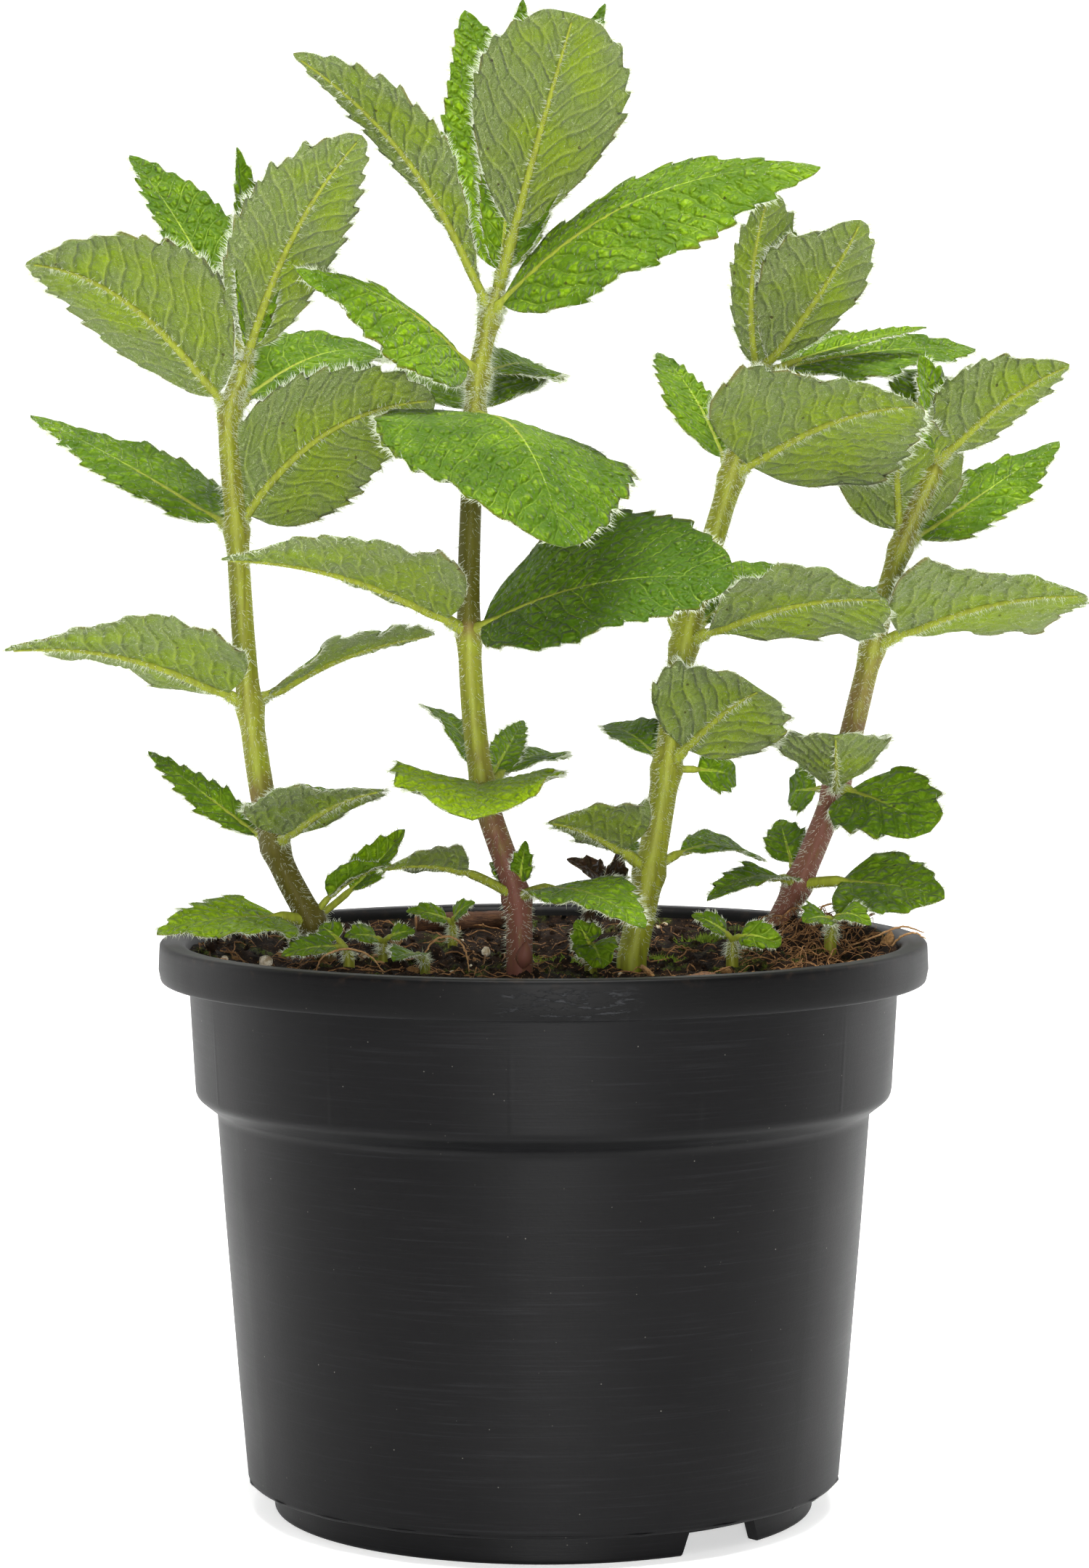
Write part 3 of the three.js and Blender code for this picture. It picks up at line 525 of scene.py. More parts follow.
def growLeaf(leaf, start, blades, stalks, hairs, rng, hairiness):
    # one leaf: both faces of its blade, its petiole and midrib, and its down
    m = leafMake
    length, bladeStart, along, outlineAt = leafShape(leaf, start)
    bladeLength = length * (1 - bladeStart)
    size = min(1.0, leaf["width"] / m["grownWidth"])
    grain = 0.5 + 0.5 * size
    teeth = max(4, round(bladeLength / (m["toothSpacing"] * grain)))
    stations = 1 + teeth * (m["stationsPerTooth"] if size > 0.5 else 4)
    columns = max(11, int(m["columns"] * min(1.0, leaf["width"] / 26))) | 1
    u = np.linspace(0, 1, stations)
    v = np.linspace(-1, 1, columns)
    v = np.sign(v) * np.abs(v) ** 1.1
    seed = rng.uniform(0, 6.28)
    reach = np.abs(v)[None, :] + 0 * u[:, None]
    outline = outlineAt(u)[:, None]
    halfWidth = np.maximum(leaf["width"] / 2 * outline, 0.12) * np.where(v < 0, *leaf.get("halves", (1, 1)))
    leftTeeth, rightTeeth = leafTeeth(u, teeth, rng), leafTeeth(u, teeth, rng)
    tooth = np.where(v[None, :] < 0, leftTeeth[:, None], rightTeeth[:, None])
    tooth = (tooth - 0.5) * reach**7 * np.clip(outline * 2, 0, 1) * m["toothDepth"] * (0.25 + 0.75 * size)
    ending = np.clip(8 * u, 0, 1)[:, None] * np.clip(8 * (1 - u), 0, 1)[:, None]
    lateral = np.sign(v) * (reach * halfWidth + tooth)
    d = np.abs(lateral)
    folds = np.broadcast_to(leaf.get("fold", 12), 2)
    lift = np.radians(np.where(v < 0, *folds) + leaf.get("curl", 0) * outline)

    # relief: a pillow in each mesh of the veins, a groove over the midrib, waved edges
    x = u[:, None] * bladeLength + 0 * d
    vein, cross = leafPattern(x, lateral, size, seed)
    stagger = cross + 0.5 * np.sin(2.4 * np.floor(vein) + seed)
    pillow = (np.abs(np.sin(np.pi * vein)) * np.abs(np.sin(np.pi * stagger))) ** 0.5
    slow = rng.uniform(0, 2 * np.pi, 6)
    sideOf = (v > 0)[None, :]
    wave = leaf.get("wave", m["wave"]) * halfWidth * reach**2.5 * (
        np.sin(2 * np.pi * (1.6 + 0.3 * sideOf) * u[:, None] + slow[0] + 2 * sideOf)
        + 0.4 * np.sin(2 * np.pi * (4.1 + 0.8 * sideOf) * u[:, None] + slow[1]))
    ruffle = np.sin(2 * np.pi * teeth * u[:, None] * 0.5 + slow[2] + 3 * sideOf)
    ruffle = m["ruffle"] * size * reach**6 * ruffle
    relief = size * (m["quilt"] * (pillow - 0.6) * (1 - reach**10) * np.clip(d / 1.6, 0, 1))
    relief = relief - m["midribGroove"] * size * np.exp(-(d / 0.8) ** 2) * (1 - u)[:, None] + wave + ruffle
    height = d * np.sin(lift) + relief * ending
    point, way, normal, side = along(bladeStart + (1 - bladeStart) * u)
    middle = (point[:, None] + side[:, None] * (lateral * np.cos(lift))[..., None]
              + normal[:, None] * height[..., None]
              + way[:, None] * (m["toothLean"] * tooth * ending)[..., None])

    # true normals of the waved sheet, for the thickness and the hairs
    sheet = unit(np.cross(np.gradient(middle, axis=1), np.gradient(middle, axis=0)))
    sheet = sheet * np.sign(np.sum(sheet * normal[:, None], axis=-1, keepdims=True) + 1e-9)
    thick = m["thickness"] * (0.6 + 0.4 * size) * (1 - 0.4 * reach)
    toVein = np.abs((vein + 0.5) % 1 - 0.5) * m["veinSpacing"] * grain
    ridge = size * ending * m["rib"] * np.clip(1 - toVein / 0.6, 0, 1) * (1 - reach**6)
    top = middle + sheet * (thick / 2)[..., None]
    bottom = middle - sheet * (thick / 2 + ridge)[..., None]
    tone = leaf.get("tone", 0) + rng.uniform(-0.1, 0.1)
    place = np.stack([x, lateral, np.full_like(d, seed)], -1).reshape(-1, 3)
    grid = np.stack([vein, cross, u[:, None] + 0 * d], -1).reshape(-1, 3)
    look = np.stack([np.zeros_like(d), reach, np.full_like(d, tone)], -1).reshape(-1, 3)
    blades.add(np.concatenate([top.reshape(-1, 3), bottom.reshape(-1, 3)]),
               sheetFaces(stations, columns),
               leafPlace=np.concatenate([place, place]), leafVein=np.concatenate([grid, grid]),
               leafLook=np.concatenate([look, look + np.array([1.0, 0, 0])]))

    rib = growRib(along, bladeStart, size, stalks)
    longest = 0.4 + 0.6 * size
    number = int(bladeLength * 2.2 * m["edgeHairs"] * hairiness)
    hairs.extend(edgeDown(middle, way, side, number, longest, rng))
    area = bladeLength * leaf["width"] * 0.68
    for surface, density, stand, share in (
            (top, m["upperHairs"], 0.7, 0.5), (bottom, m["underHairs"], -0.55, 0.75)):
        number = int(area * density * hairiness)
        hairs.append(faceDown(surface, sheet, way, number, stand, share, longest, rng))
    number = int(length * m["ribHairs"] * hairiness * (0.4 + 0.6 * size))
    hairs.append(ribDown(rib, number, longest, rng))


def hairMesh(heap, tufts):
    # each hair is a slim closed spike of three sides; a tuft is roots, ways, lengths and a width
    roots = np.concatenate([t[0] for t in tufts])
    ways = np.concatenate([t[1] for t in tufts])
    lengths = np.concatenate([t[2] for t in tufts])
    widths = np.concatenate([np.full(len(t[2]), t[3]) for t in tufts])[:, None, None]
    helper = np.where(np.abs(ways[:, 2:3]) > 0.8, np.array([[1.0, 0, 0]]), np.array([[0, 0, 1.0]]))
    right = unit(np.cross(ways, helper))
    front = np.cross(ways, right)
    turn = np.arange(3) * 2 * np.pi / 3
    base = (roots - ways * 0.1)[:, None] + widths / 2 * (
        right[:, None] * np.cos(turn)[None, :, None] + front[:, None] * np.sin(turn)[None, :, None])
    points = np.concatenate([base, (roots + ways * lengths[:, None])[:, None]], axis=1).reshape(-1, 3)
    first = np.arange(len(roots))[:, None] * 4
    sides = np.array([(0, 1, 3), (1, 2, 3), (2, 0, 3), (0, 2, 1)])
    faces = np.concatenate([first + side[None] for side in sides])
    heap.add(points, [faces])


# Stems

# swelling and hairs are for a stem of this radius; sunk is how far it runs into the mix
stemMake = {
    "radius": 2.2, "sides": 24, "steps": 14, "swelling": 0.5, "hairsPerMm": 36, "hairWidth": 0.085,
    "sunk": 8, "standsOut": 1.5,
}


def growStem(stem, stalks, hairs, rng, hairiness):
    # a stem that swells at its nodes, with its stains, painted shade on its shaded stretches, grooves, buds
    # and hairs
    m = stemMake
    knots = np.array(stem["nodes"], float)
    foot = knots[0] + (0, 0, m["standsOut"])
    path = smoothPath(np.concatenate([[foot], knots[1:]]), m["steps"])
    path = np.concatenate([[knots[0] - (0, 0, m["sunk"])], path])
    gone = np.concatenate([[0], np.cumsum(np.linalg.norm(np.diff(path, axis=0), axis=1))])
    hidden = m["sunk"] + m["standsOut"]
    share = np.clip((gone - hidden) / (gone[-1] - hidden), 0, 1)
    radii = stem["radius"] * (1 - 0.3 * share)
    for knot in knots[1:-1]:
        near = np.exp(-((np.linalg.norm(path - knot, axis=1) / 1.9) ** 2))
        radii = radii + m["swelling"] * stem["radius"] / m["radius"] * near
    radii[-1] *= 0.6
    points, faces = tubeMesh(path, radii, m["sides"], lambda a: 1 + 0.07 * np.cos(4 * a), start=(1, 0, 0))
    purpleTop, stainAndShade = stem.get("purple", (0, 0.2))
    reach = np.clip(1 - (points[:, 2] - knots[0][2]) / max(purpleTop, 1), 0, 1)
    # painted shade: between the heights under shaded the stem is darkened, where leaves above shadow it
    low, high = stem.get("shaded", (0, 0))
    stainAndShade = stainAndShade + (0.95 - stainAndShade) * np.clip(np.minimum(points[:, 2] - low, high - points[:, 2]) / 4, 0, 1)
    turn = np.arange(m["sides"]) * 2 * np.pi / m["sides"]
    groove = np.concatenate([np.tile(np.clip(np.cos(4 * turn), 0, 1), len(path)), [0, 0]])
    stalks.add(points, faces, stemLook=np.stack([reach * (purpleTop > 0), stainAndShade + 0 * reach, groove], -1))
    for bud in stem.get("buds", []):
        plump = bud["radius"] * np.array([0.1, 0.6, 0.95, 1, 0.8, 0.5, 0.1])
        shape = tubeMesh(np.linspace(*bud["ends"], len(plump)), plump, 14, start=(1, 0, 0))
        stalks.add(*shape, stemLook=(1.0, 0.55, 0.0))
    number = int(gone[-1] * m["hairsPerMm"] * hairiness * stem["radius"] / m["radius"])
    rows = 2 + (rng.uniform(0, 1, number) ** 0.75 * (len(path) - 3)).astype(int)
    spots = path[rows] + (path[rows - 1] - path[rows]) * rng.uniform(0, 1, (number, 1))
    ways = unit(path[rows] - path[rows - 1])
    out = across(rng.normal(0, 1, (number, 3)), ways)
    roots = spots + out * (radii[rows] * 0.96)[:, None]
    hairs.append((roots, unit(out - 0.35 * ways + rng.normal(0, 0.3, (number, 3))),
                  rng.uniform(0.6, 2.0, number) * (0.7 + 0.4 * share[rows]), m["hairWidth"]))


# The plant's stems, base first, with their nodes and the leaves that grow there

stems = {
    "stem_left": {"radius": 2.2, "purple": (40, 0.2), "shaded": (90, 122), "nodes": [
        (-38, 10, 92), (-40, 9, 99), (-46, 7, 112), (-50, 4, 136), (-52, 2, 166), (-53, 1, 186),
        (-50, 0, 195),
    ], "leaves": [
        # tone raised: painted glow, as this leaf is lit through
        leafAt(1, (-65, -9, 98.6), 21, (0, -0.3, 0.95), 2, 7, fold=4, wide=0.28, halves=(1.2, 0.8), tone=0.9),
        leafAt(1, (-24, 14, 114.5), 8, (0.2, -0.6, 0.8), -2, 9, fold=30),
        leafAt(1, (-27.5, 10, 108.5), 7, (0, -0.4, 0.9), 2, 5, fold=35),
        leafAt(2, (-27, -18, 123.5), 28, (-0.25, 0.45, 0.9), 2, 4, fold=6, halves=(0.6, 1)),
        leafAt(2, (-69, 22, 127.5), 16, (0, -0.55, 0.8), 0, 4, fold=2, halves=(0.5, 0.45)),
        leafAt(2, (-41.5, 16, 118), 4, (0, -0.3, 1), 1, 2),
        leafAt(3, (-88, -26, 147), 31, (0, 0.34, 1), 4, 5, fold=11, wide=0.34),
        leafAt(3, (-19, 22, 148), 28, (0, 0.34, 1), 2.5, 4, fold=4, wide=0.3),
        leafAt(4, (-18, -11, 188), 28, (0.3, 0.9, 0.4), 4, 3, sway=5, fold=6, wide=0.36, blunt=0.6,
               halves=(0.85, 0.8)),
        leafAt(4, (-90, 30, 186), 27, (0.1, -0.35, 1), 1, 4, fold=-4, wide=0.3, halves=(0.55, 0.9)),
        leafAt(5, (-84, -26, 210), 27, (-0.2, 0.6, 0.8), 9, 3, wide=0.42, halves=(1.05, 0.78)),
        leafAt(5, (-27, 28, 196.5), 24, (0, -0.5, 0.9), 5, 4, fold=5),
        leafAt(6, (-72, 26, 231), 19, (0.3, -0.7, 0.5), 3, 4, halves=(0.55, 1.0)),
        leafAt(6, (-29.5, -26, 230.5), 22, (-0.1, 0.9, 0.4), 3, 2, sway=2, wide=0.45, blunt=0.6,
               halves=(0.8, 0.9)),
        leafAt(6, (-51, -8, 230), 12, (0.3, -0.9, 0.2), 1, 2, fold=36, halves=(0.45, 1)),
    ]},
    "stem_middle": {"radius": 2.1, "purple": (46, 0.2), "shaded": (148, 184), "nodes": [
        (-4, -8, 91.5), (-4.5, -8, 104.5), (-10, -7, 122.5), (-12.5, -6, 149), (-11.5, -4, 185),
        (-11, -3, 192), (-9, -2, 202), (-7.5, -1, 207),
    ], "buds": [
        dict(ends=((-3.6, -9.6, 92.6), (-2.8, -10.6, 97.6)), radius=1.45),
    ], "leaves": [
        leafAt(1, (-26, -27, 111), 13, (0, 0.5, 0.85), 3, 11, wide=0.5),
        leafAt(1, (16.5, -33, 102), 18, (0, -0.2, 1), 4, 9, fold=2, wide=0.28),
        leafAt(1, (-3, -11, 114.5), 4, (0, -1, 0.2), 0, 3),
        leafAt(1, (-9, -6, 110.5), 3.5, (0, -0.3, 1), 0, 3),
        # tone raised: painted glow, as this leaf is lit through
        leafAt(2, (-11.5, -37, 120), 29, (0, -0.2, 1), 3, 3, fold=12, wide=0.5, blunt=0.5, tone=1.3),
        leafAt(2, (-21, 13, 136), 12, (0, 0.3, 0.9), 3, 4, halves=(0.8, 0.5)),
        leafAt(2, (3.5, 17, 126.5), 12, (0, -0.3, 0.9), 3, 6),
        leafAt(2, (-3.5, 14, 133.3), 6, (0.3, -0.4, 0.8), 1, 4),
        leafAt(3, (-52, -34, 162), 33, (0, 0.2, 1), 3.5, 5, fold=12, halves=(1, 0.5)),
        # tone lowered: painted shade, as this leaf lies in shade
        leafAt(3, (31, -24, 158.5), 34, (0, -0.65, 0.75), 5, 3, fold=0, wide=0.45, blunt=0.5,
               halves=(1.15, 0.8), tone=-0.35),
        leafAt(4, (3.5, -42, 164), 44, (0.3, -0.4, 0.9), 8, 3, sway=2, fold=0, curl=-10, halves=(1.0, 1.1),
               wide=0.42, blunt=0.6, wave=0.03),
        leafAt(4, (-16, 38, 195), 28, (0, -0.3, 0.9), 2, 4, fold=6),
        leafAt(5, (-40.5, -24, 209), 27, (0, -0.6, 0.8), 4, 3, fold=-16, halves=(1, 0.5)),
        leafAt(5, (2, 28, 192), 14, (-0.1, -0.8, 0.5), 3, 4, fold=4),
        leafAt(6, (-41, -18, 244.5), 25, (0.5, 0.7, 0.5), 6, 4, sway=-1, wide=0.62, halves=(0.68, 0.4)),
        leafAt(6, (46, -10, 226.5), 32, (-0.3, -0.6, 0.8), 9, 3, fold=-12, wide=0.42, halves=(0.7, 1)),
        leafAt(7, (5, -18, 251), 26.5, (0, 1, 0.3), 4, 10, wide=0.6, blunt=0.5),
        leafAt(7, (-13.5, 16, 255), 19, (0.3, -0.9, 0.2), 2, 3, sway=2, halves=(1.15, 1)),
        leafAt(7, (-3.5, 12, 256.5), 11, (0.2, -0.9, 0.2), 1, 3),
        leafAt(7, (10.5, 10, 255.5), 12, (-0.4, -0.8, 0.3), 1, 3),
    ]},
    "stem_right": {"radius": 2.4, "purple": (0, 0.15), "nodes": [
        (15, 0, 92), (18, 2, 108), (21, 4, 125.5), (24, 7, 146.5), (32, 8, 175), (36.5, 8, 192.5),
    ], "leaves": [
        leafAt(1, (1, -15, 118), 20, (0, 0.5, 0.85), 2, 7, halves=(1.1, 0.5)),
        leafAt(1, (37.5, 16, 109), 13, (0, -0.3, 0.9), 4, 6, fold=4, wide=0.58),
        leafAt(1, (15, 12, 113), 4, (0, -0.8, 0.5), 0, 3),
        leafAt(2, (36, -16, 140), 25, (0.1, 0.8, 0.5), 3, 5, fold=6, halves=(0.9, 1), round=True),
        leafAt(2, (10.5, 22, 132), 9, (0, -0.4, 0.9), 2, 4, halves=(1, 1.3)),
        leafAt(2, (33, 10, 124), 8, (0.2, -0.9, 0.3), 2, 5, round=True),
        leafAt(3, (13, 28, 160), 24, (0, -0.3, 0.9), 4, 6),
        leafAt(3, (57, -11, 155), 29, (0, 0.35, 0.95), 3, 5, fold=(-12, 4), wide=0.62, blunt=0.6,
               halves=(1, 1.1)),
        leafAt(3, (44, 32, 159), 16, (0, -0.3, 0.9), 3, 6, halves=(1.2, 1)),
        leafAt(4, (62, -20, 187), 34, (0, 0.6, 0.75), 4, 4, fold=2, wide=0.32, halves=(1.1, 1.1)),
        leafAt(4, (20, 30, 197), 12, (0.1, -0.5, 0.8), 3, 4, halves=(1.1, 0.5)),
        leafAt(5, (38, -3, 223), 17, (0, 1, 0.1), 1, 2, sway=2, fold=32, wide=0.45, blunt=0.55,
               halves=(1.2, 0.5)),
        leafAt(5, (53, -6, 218), 23, (-0.2, 0.8, 0.4), 3, 3, sway=-2.5, wide=0.5, halves=(0.7, 1)),
        leafAt(5, (75.5, 28, 197.5), 20, (0, -0.45, 0.85), 2, 5, fold=5, halves=(0.8, 1.1)),
        leafAt(5, (66, 17, 201), 6, (0, -0.4, 0.9), 1, 8),
    ]},
    "stem_far_right": {"radius": 2.2, "purple": (62, 0.3), "nodes": [
        (41, 24, 95), (44.5, 23, 104), (51, 21, 121), (57, 18, 145.5), (61.5, 14, 163), (67.5, 12, 177.5),
    ], "leaves": [
        leafAt(1, (69, 9, 103), 19, (0, -0.5, 0.85), 2, 9, fold=3, halves=(1, 1.3)),
        leafAt(1, (28, 5, 103), 14, (0, -0.3, 0.9), 3, 5, wide=0.28, halves=(1, 0.6)),
        leafAt(1, (42, 36, 114.5), 8, (-0.2, -0.5, 0.8), 1, 5),
        leafAt(2, (49, -8, 132), 24, (0, 0.6, 0.8), -2, 3, fold=24, wide=0.62, halves=(0.85, 0.9)),
        leafAt(2, (66, 3, 115), 22, (0.25, -0.9, 0.5), 2, 4, fold=3, halves=(0.85, 0.9), round=True),
        leafAt(2, (43.5, 30, 120), 8.5, (-0.1, -1, 0.2), 1, 4, round=True),
        leafAt(3, (91, -5, 155.5), 34, (0, 0.34, 0.95), 3, 6, fold=4, wide=0.46, halves=(1.15, 1.15)),
        leafAt(3, (47, 43, 152), 22, (0, -0.3, 0.9), 4, 6),
        leafAt(4, (59.5, 2, 187), 24, (0, 0.85, 0.5), 3, 3, halves=(1.0, 0.85)),
        leafAt(4, (91, 34, 181.5), 29, (0, -0.4, 0.9), 0, 4, fold=-6, halves=(0.6, 0.55)),
        leafAt(5, (88, -6, 194), 20, (0, 0.7, 0.6), 3, 3, fold=8, halves=(0.55, 1)),
        leafAt(5, (64, 30, 194), 14, (0.1, -0.5, 0.8), 4, 3),
        leafAt(5, (64, 7, 196), 12, (0.6, -0.7, 0.3), 1, 3),
        leafAt(5, (73, 7, 194.5), 10, (-0.6, 0.5, 0.4), 1, 2),
    ]},
}

# Young sprouts round the stems, each a short stem with its own small leaves
sprouts = {
    "sprout_far_left": {"radius": 0.9, "nodes": [(-33, -2, 92), (-33.5, -2, 95.5)], "leaves": [
        leafAt(1, (-44, -10, 95), 6, (0, -0.6, 0.8), 1, 2.5),
        leafAt(1, (-38, 1, 99), 5, (0, -0.8, 0.5), 1, 2),
    ]},
    "sprout_left": {"radius": 0.9, "nodes": [(-27.5, 8, 92), (-27.5, 8, 95.5)], "leaves": [
        leafAt(1, (-34, 3, 97), 5, (0, -0.7, 0.7), 1, 2),
        leafAt(1, (-22, 6, 97.5), 4, (0, -0.7, 0.7), 1, 2),
    ]},
    "sprout_back": {"radius": 0.8, "nodes": [(-16, 26, 92), (-16, 26, 97)], "leaves": [
        leafAt(1, (-24, 22, 99.5), 4.5, (0, -0.7, 0.7), 1, 1.5),
        leafAt(1, (-12, 23, 101), 4, (0, -0.7, 0.7), 1, 1.5),
    ]},
    "sprout_yellow": {"radius": 0.8, "nodes": [(-20, -6, 92), (-20.5, -7, 94.5)], "leaves": [
        leafAt(1, (-25, -16, 94.8), 6.5, (0, -0.4, 0.9), 1, 2),
    ]},
    "sprout_front": {"radius": 1, "nodes": [(8, -6, 92), (8, -6, 96)], "leaves": [
        leafAt(1, (5.5, -9, 101), 6, (0, -1, 0.3), 1, 1.5),
        leafAt(1, (10, -14, 93.4), 8, (0, -0.8, 0.5), 2, 1.5, round=True),
    ]},
    "sprout_front_right": {"radius": 1, "nodes": [(32, -3, 92.5), (32, -3, 97)], "leaves": [
        leafAt(1, (25, -6, 101.5), 4.5, (0, -0.7, 0.7), 1, 2),
        leafAt(1, (40, -7, 96.5), 6, (0.1, -0.8, 0.6), 2, 2, round=True),
    ]},
    "sprout_right": {"radius": 1, "nodes": [(49, 3, 95), (49.5, 3, 99.5)], "leaves": [
        leafAt(1, (44, -2, 100), 7, (0, -0.6, 0.8), 1, 2),
        leafAt(1, (55.5, -3, 99.5), 6, (0, -0.6, 0.8), 2, 2),
    ]},
}
witheredShoot = {"radius": 1, "nodes": [(7, 14, 92), (7.5, 13, 99), (10, 12, 105)], "leaves": [
    leafAt(2, (4, 6, 110), 5, (0, -0.8, 0.4), 2, 2, fold=35),
    leafAt(2, (13, 5, 112), 6, (0.3, -0.8, 0.4), 2, 2, fold=35),
    leafAt(1, (13, 7, 102), 4, (0, -0.6, 0.8), 2, 3),
]}


def growShoot(label, shoot, replaced, leafMaterial, stemMaterial, slotName, down, seed):
    # one shoot: its blades, its stalk with petioles and midribs, and its down
    rng = np.random.default_rng(seed)
    blades, stalks, hairs = Heap(), Heap(), []
    growStem(shoot, stalks, hairs, rng, down)
    for leaf in shoot["leaves"]:
        start = np.array(shoot["nodes"][leaf["at"]], float)
        growLeaf(leaf, start, blades, stalks, hairs, rng, down)
    blades.make("leaves" + label, leafMaterial, slotName, replaced=[replaced])
    stalks.make("stalk" + label, stemMaterial, slotName)
    fleece = Heap()
    hairMesh(fleece, hairs)
    fleece.make("down" + label, finishes["down"], slotName, smooth=False)


for seed, (node, shoot) in enumerate(stems.items()):
    label = "".join(word.capitalize() for word in node.split("_")[1:])
    growShoot(label, shoot, node, finishes["leaf"], finishes["stem"], "mint_leaf", 1.0, 100 + seed)
print("stems grown")
for seed, (node, shoot) in enumerate(sprouts.items()):
    label = "".join(word.capitalize() for word in node.split("_"))
    growShoot(label, shoot, node, finishes["young"], finishes["stem"], "young_leaf", 0.9, 200 + seed)
growShoot("Withered", witheredShoot, "withered_shoot", finishes["withered"], finishes["deadStem"],
          "withered_leaf", 0.25, 300)
print("sprouts grown")


# The pot

potMake = {
    "rimHeight": 97, "rimRadius": 65.3, "rimDrop": 6.6, "collarRadius": 60.2, "collarFoot": 59.1,
    "stepTop": 71, "stepFoot": 68.2, "wallTop": 55.5, "wallFoot": 50.5, "wallEnd": 5.2, "thickness": 1.5,
    "wallBends": ((52, 22.3), (54.2, 50)), "footRadius": 46, "footWidth": 2.6, "floor": 3.8, "segments": 120,
    "ribs": 12, "ribTurn": -5, "ribProud": 0.06, "ribTop": 86, "flash": 0.3, "notchTurns": (40, 220),
    "notchWidth": 17, "drainCircle": 32, "drainRadius": 3.5, "drainHoles": 6,
}


def roundedOutline(corners, stretch=6.0, hold=0.3):
    # corners are (radius, height, rounding); long straights get points in between
    points = [np.array(corners[0][:2], float)]
    for before, (r, z, bend), after in zip(corners, corners[1:], corners[2:]):
        here = np.array([r, z], float)
        into, out = np.array(before[:2], float) - here, np.array(after[:2], float) - here
        reachIn = min(bend, np.linalg.norm(into) / 2.05)
        reachOut = min(bend, np.linalg.norm(out) / 2.05)
        a, b = here + unit(into) * reachIn, here + unit(out) * reachOut
        if bend and reachIn + hold < np.linalg.norm(into) / 2:
            points.append(a + unit(into) * hold)  # keeps the flat face before the bend flat
        for t in (np.linspace(0, 1, 5) if bend else (0.5,)):
            points.append((1 - t) ** 2 * a + 2 * t * (1 - t) * here + t**2 * b)
        if bend and reachOut + hold < np.linalg.norm(out) / 2:
            points.append(b + unit(out) * hold)
    points.append(np.array(corners[-1][:2], float))
    dense = [points[0]]
    for a, b in zip(points, points[1:]):
        parts = max(1, int(np.linalg.norm(b - a) / stretch))
        dense += [a + (b - a) * k / parts for k in range(1, parts + 1)]
    return np.array(dense)


def turned(outline, angles, shift):
    # revolve an outline whose ends lie on the axis; shift(angle, r, z) moves it outwards
    r, z = outline[1:-1, 0][:, None], outline[1:-1, 1][:, None]
    radius = r + shift(angles[None, :], r, z)
    points = np.stack([radius * np.sin(angles), -radius * np.cos(angles), z + 0 * radius], -1).reshape(-1, 3)
    ends = np.array([[0, 0, outline[0, 1]], [0, 0, outline[-1, 1]]])
    return np.concatenate([points, ends]), ringFaces(len(outline) - 2, len(angles))


def plainMesh(name, points, faces):
    # a mesh without a finish, for the pot and what is cut from it
    mesh = bpy.data.meshes.new(name)
    sides = [list(map(int, f)) for group in faces for f in group]
    mesh.from_pydata((np.asarray(points) * mm).tolist(), [], sides)
    mesh.update()
    made = bpy.data.objects.new(name, mesh)
    bpy.context.scene.collection.objects.link(made)
    return made


def cutAway(piece, cutters):
    # takes the cutters' shapes out of the piece for good
    for cutter in cutters:
        cut = piece.modifiers.new("cut", "BOOLEAN")
        cut.operation, cut.object, cut.solver = "DIFFERENCE", cutter, "EXACT"
    bpy.context.view_layer.update()
    whole = piece.evaluated_get(bpy.context.evaluated_depsgraph_get())
    mesh = bpy.data.meshes.new_from_object(whole)
    piece.modifiers.clear()
    piece.data = mesh
    for cutter in cutters:
        bpy.data.objects.remove(cutter)


def potFinish():
    f = Finish("blackPlastic", IOR=1.5, Specular_IOR_Level=0.11)
    spot = f.place()
    height = f.part(spot, 2)
    rings = f.cloud(f.scaled(spot, (0.02, 0.02, 1)), 2.4, 5, 0.7)
    fine = f.cloud(f.scaled(spot, (0.05, 0.05, 1)), 9, 2)
    bloom = f.cloud(spot, 0.045, 4)
    dust = f.cells(spot, 0.55)
    specks = f.step(dust, 0.07, 0.03) * f.step(f.cloud(spot, 0.4, 2), 0.5, 0.7)
    lip = f.step(height, 90.5, 91.5)
    rubbed = f.cloud(f.scaled(spot, (0.5, 0.5, 2.4)), 0.7, 5, 0.75)
    # the lip is rubbed most at the front, a little to the right
    zone = f.step(f.part(spot, 0), -9, -4) * f.step(f.part(spot, 0), 17, 12)
    zone = zone * f.step(f.part(spot, 1), -40, -50)
    scuff = lip * f.step(height, 96.5, 94) * (
        zone * f.step(rubbed, 0.52, 0.62) + f.step(rubbed, 0.68, 0.76) * 0.5)
    soiled = f.step(height, 94.5, 97.2) * f.step(f.cloud(spot, 0.5, 4), 0.52, 0.72) * 0.2
    colour = f.mix(f.step(bloom, 0.3, 0.75), "#030304", "#070708")
    colour = f.mix(f.step(rings, 0.5, 0.8) * 0.3, colour, "#2a2b2d")
    colour = f.mix(specks * 0.6, colour, "#8d8a82")
    # painted shade: the lip is made darker than the wall below
    colour = f.mix(lip * 0.8, colour, "#020202")
    colour = f.mix(scuff * 0.6, colour, "#38393b")
    colour = f.mix(soiled, colour, "#3a2c20")
    relief = f.bump(rings + fine * 0.6, 0.25, 0.08 * mm)
    relief = f.bump(f.cloud(spot, 1.6, 4), 0.12, 0.1 * mm, relief)
    relief = f.bump(scuff, 0.6, 0.15 * mm, relief)
    f.wear(Base_Color=colour, Normal=relief,
           Roughness=0.36 + lip * 0.02 + bloom * 0.14 + scuff * 0.25 + rings * 0.08)
    return f.material


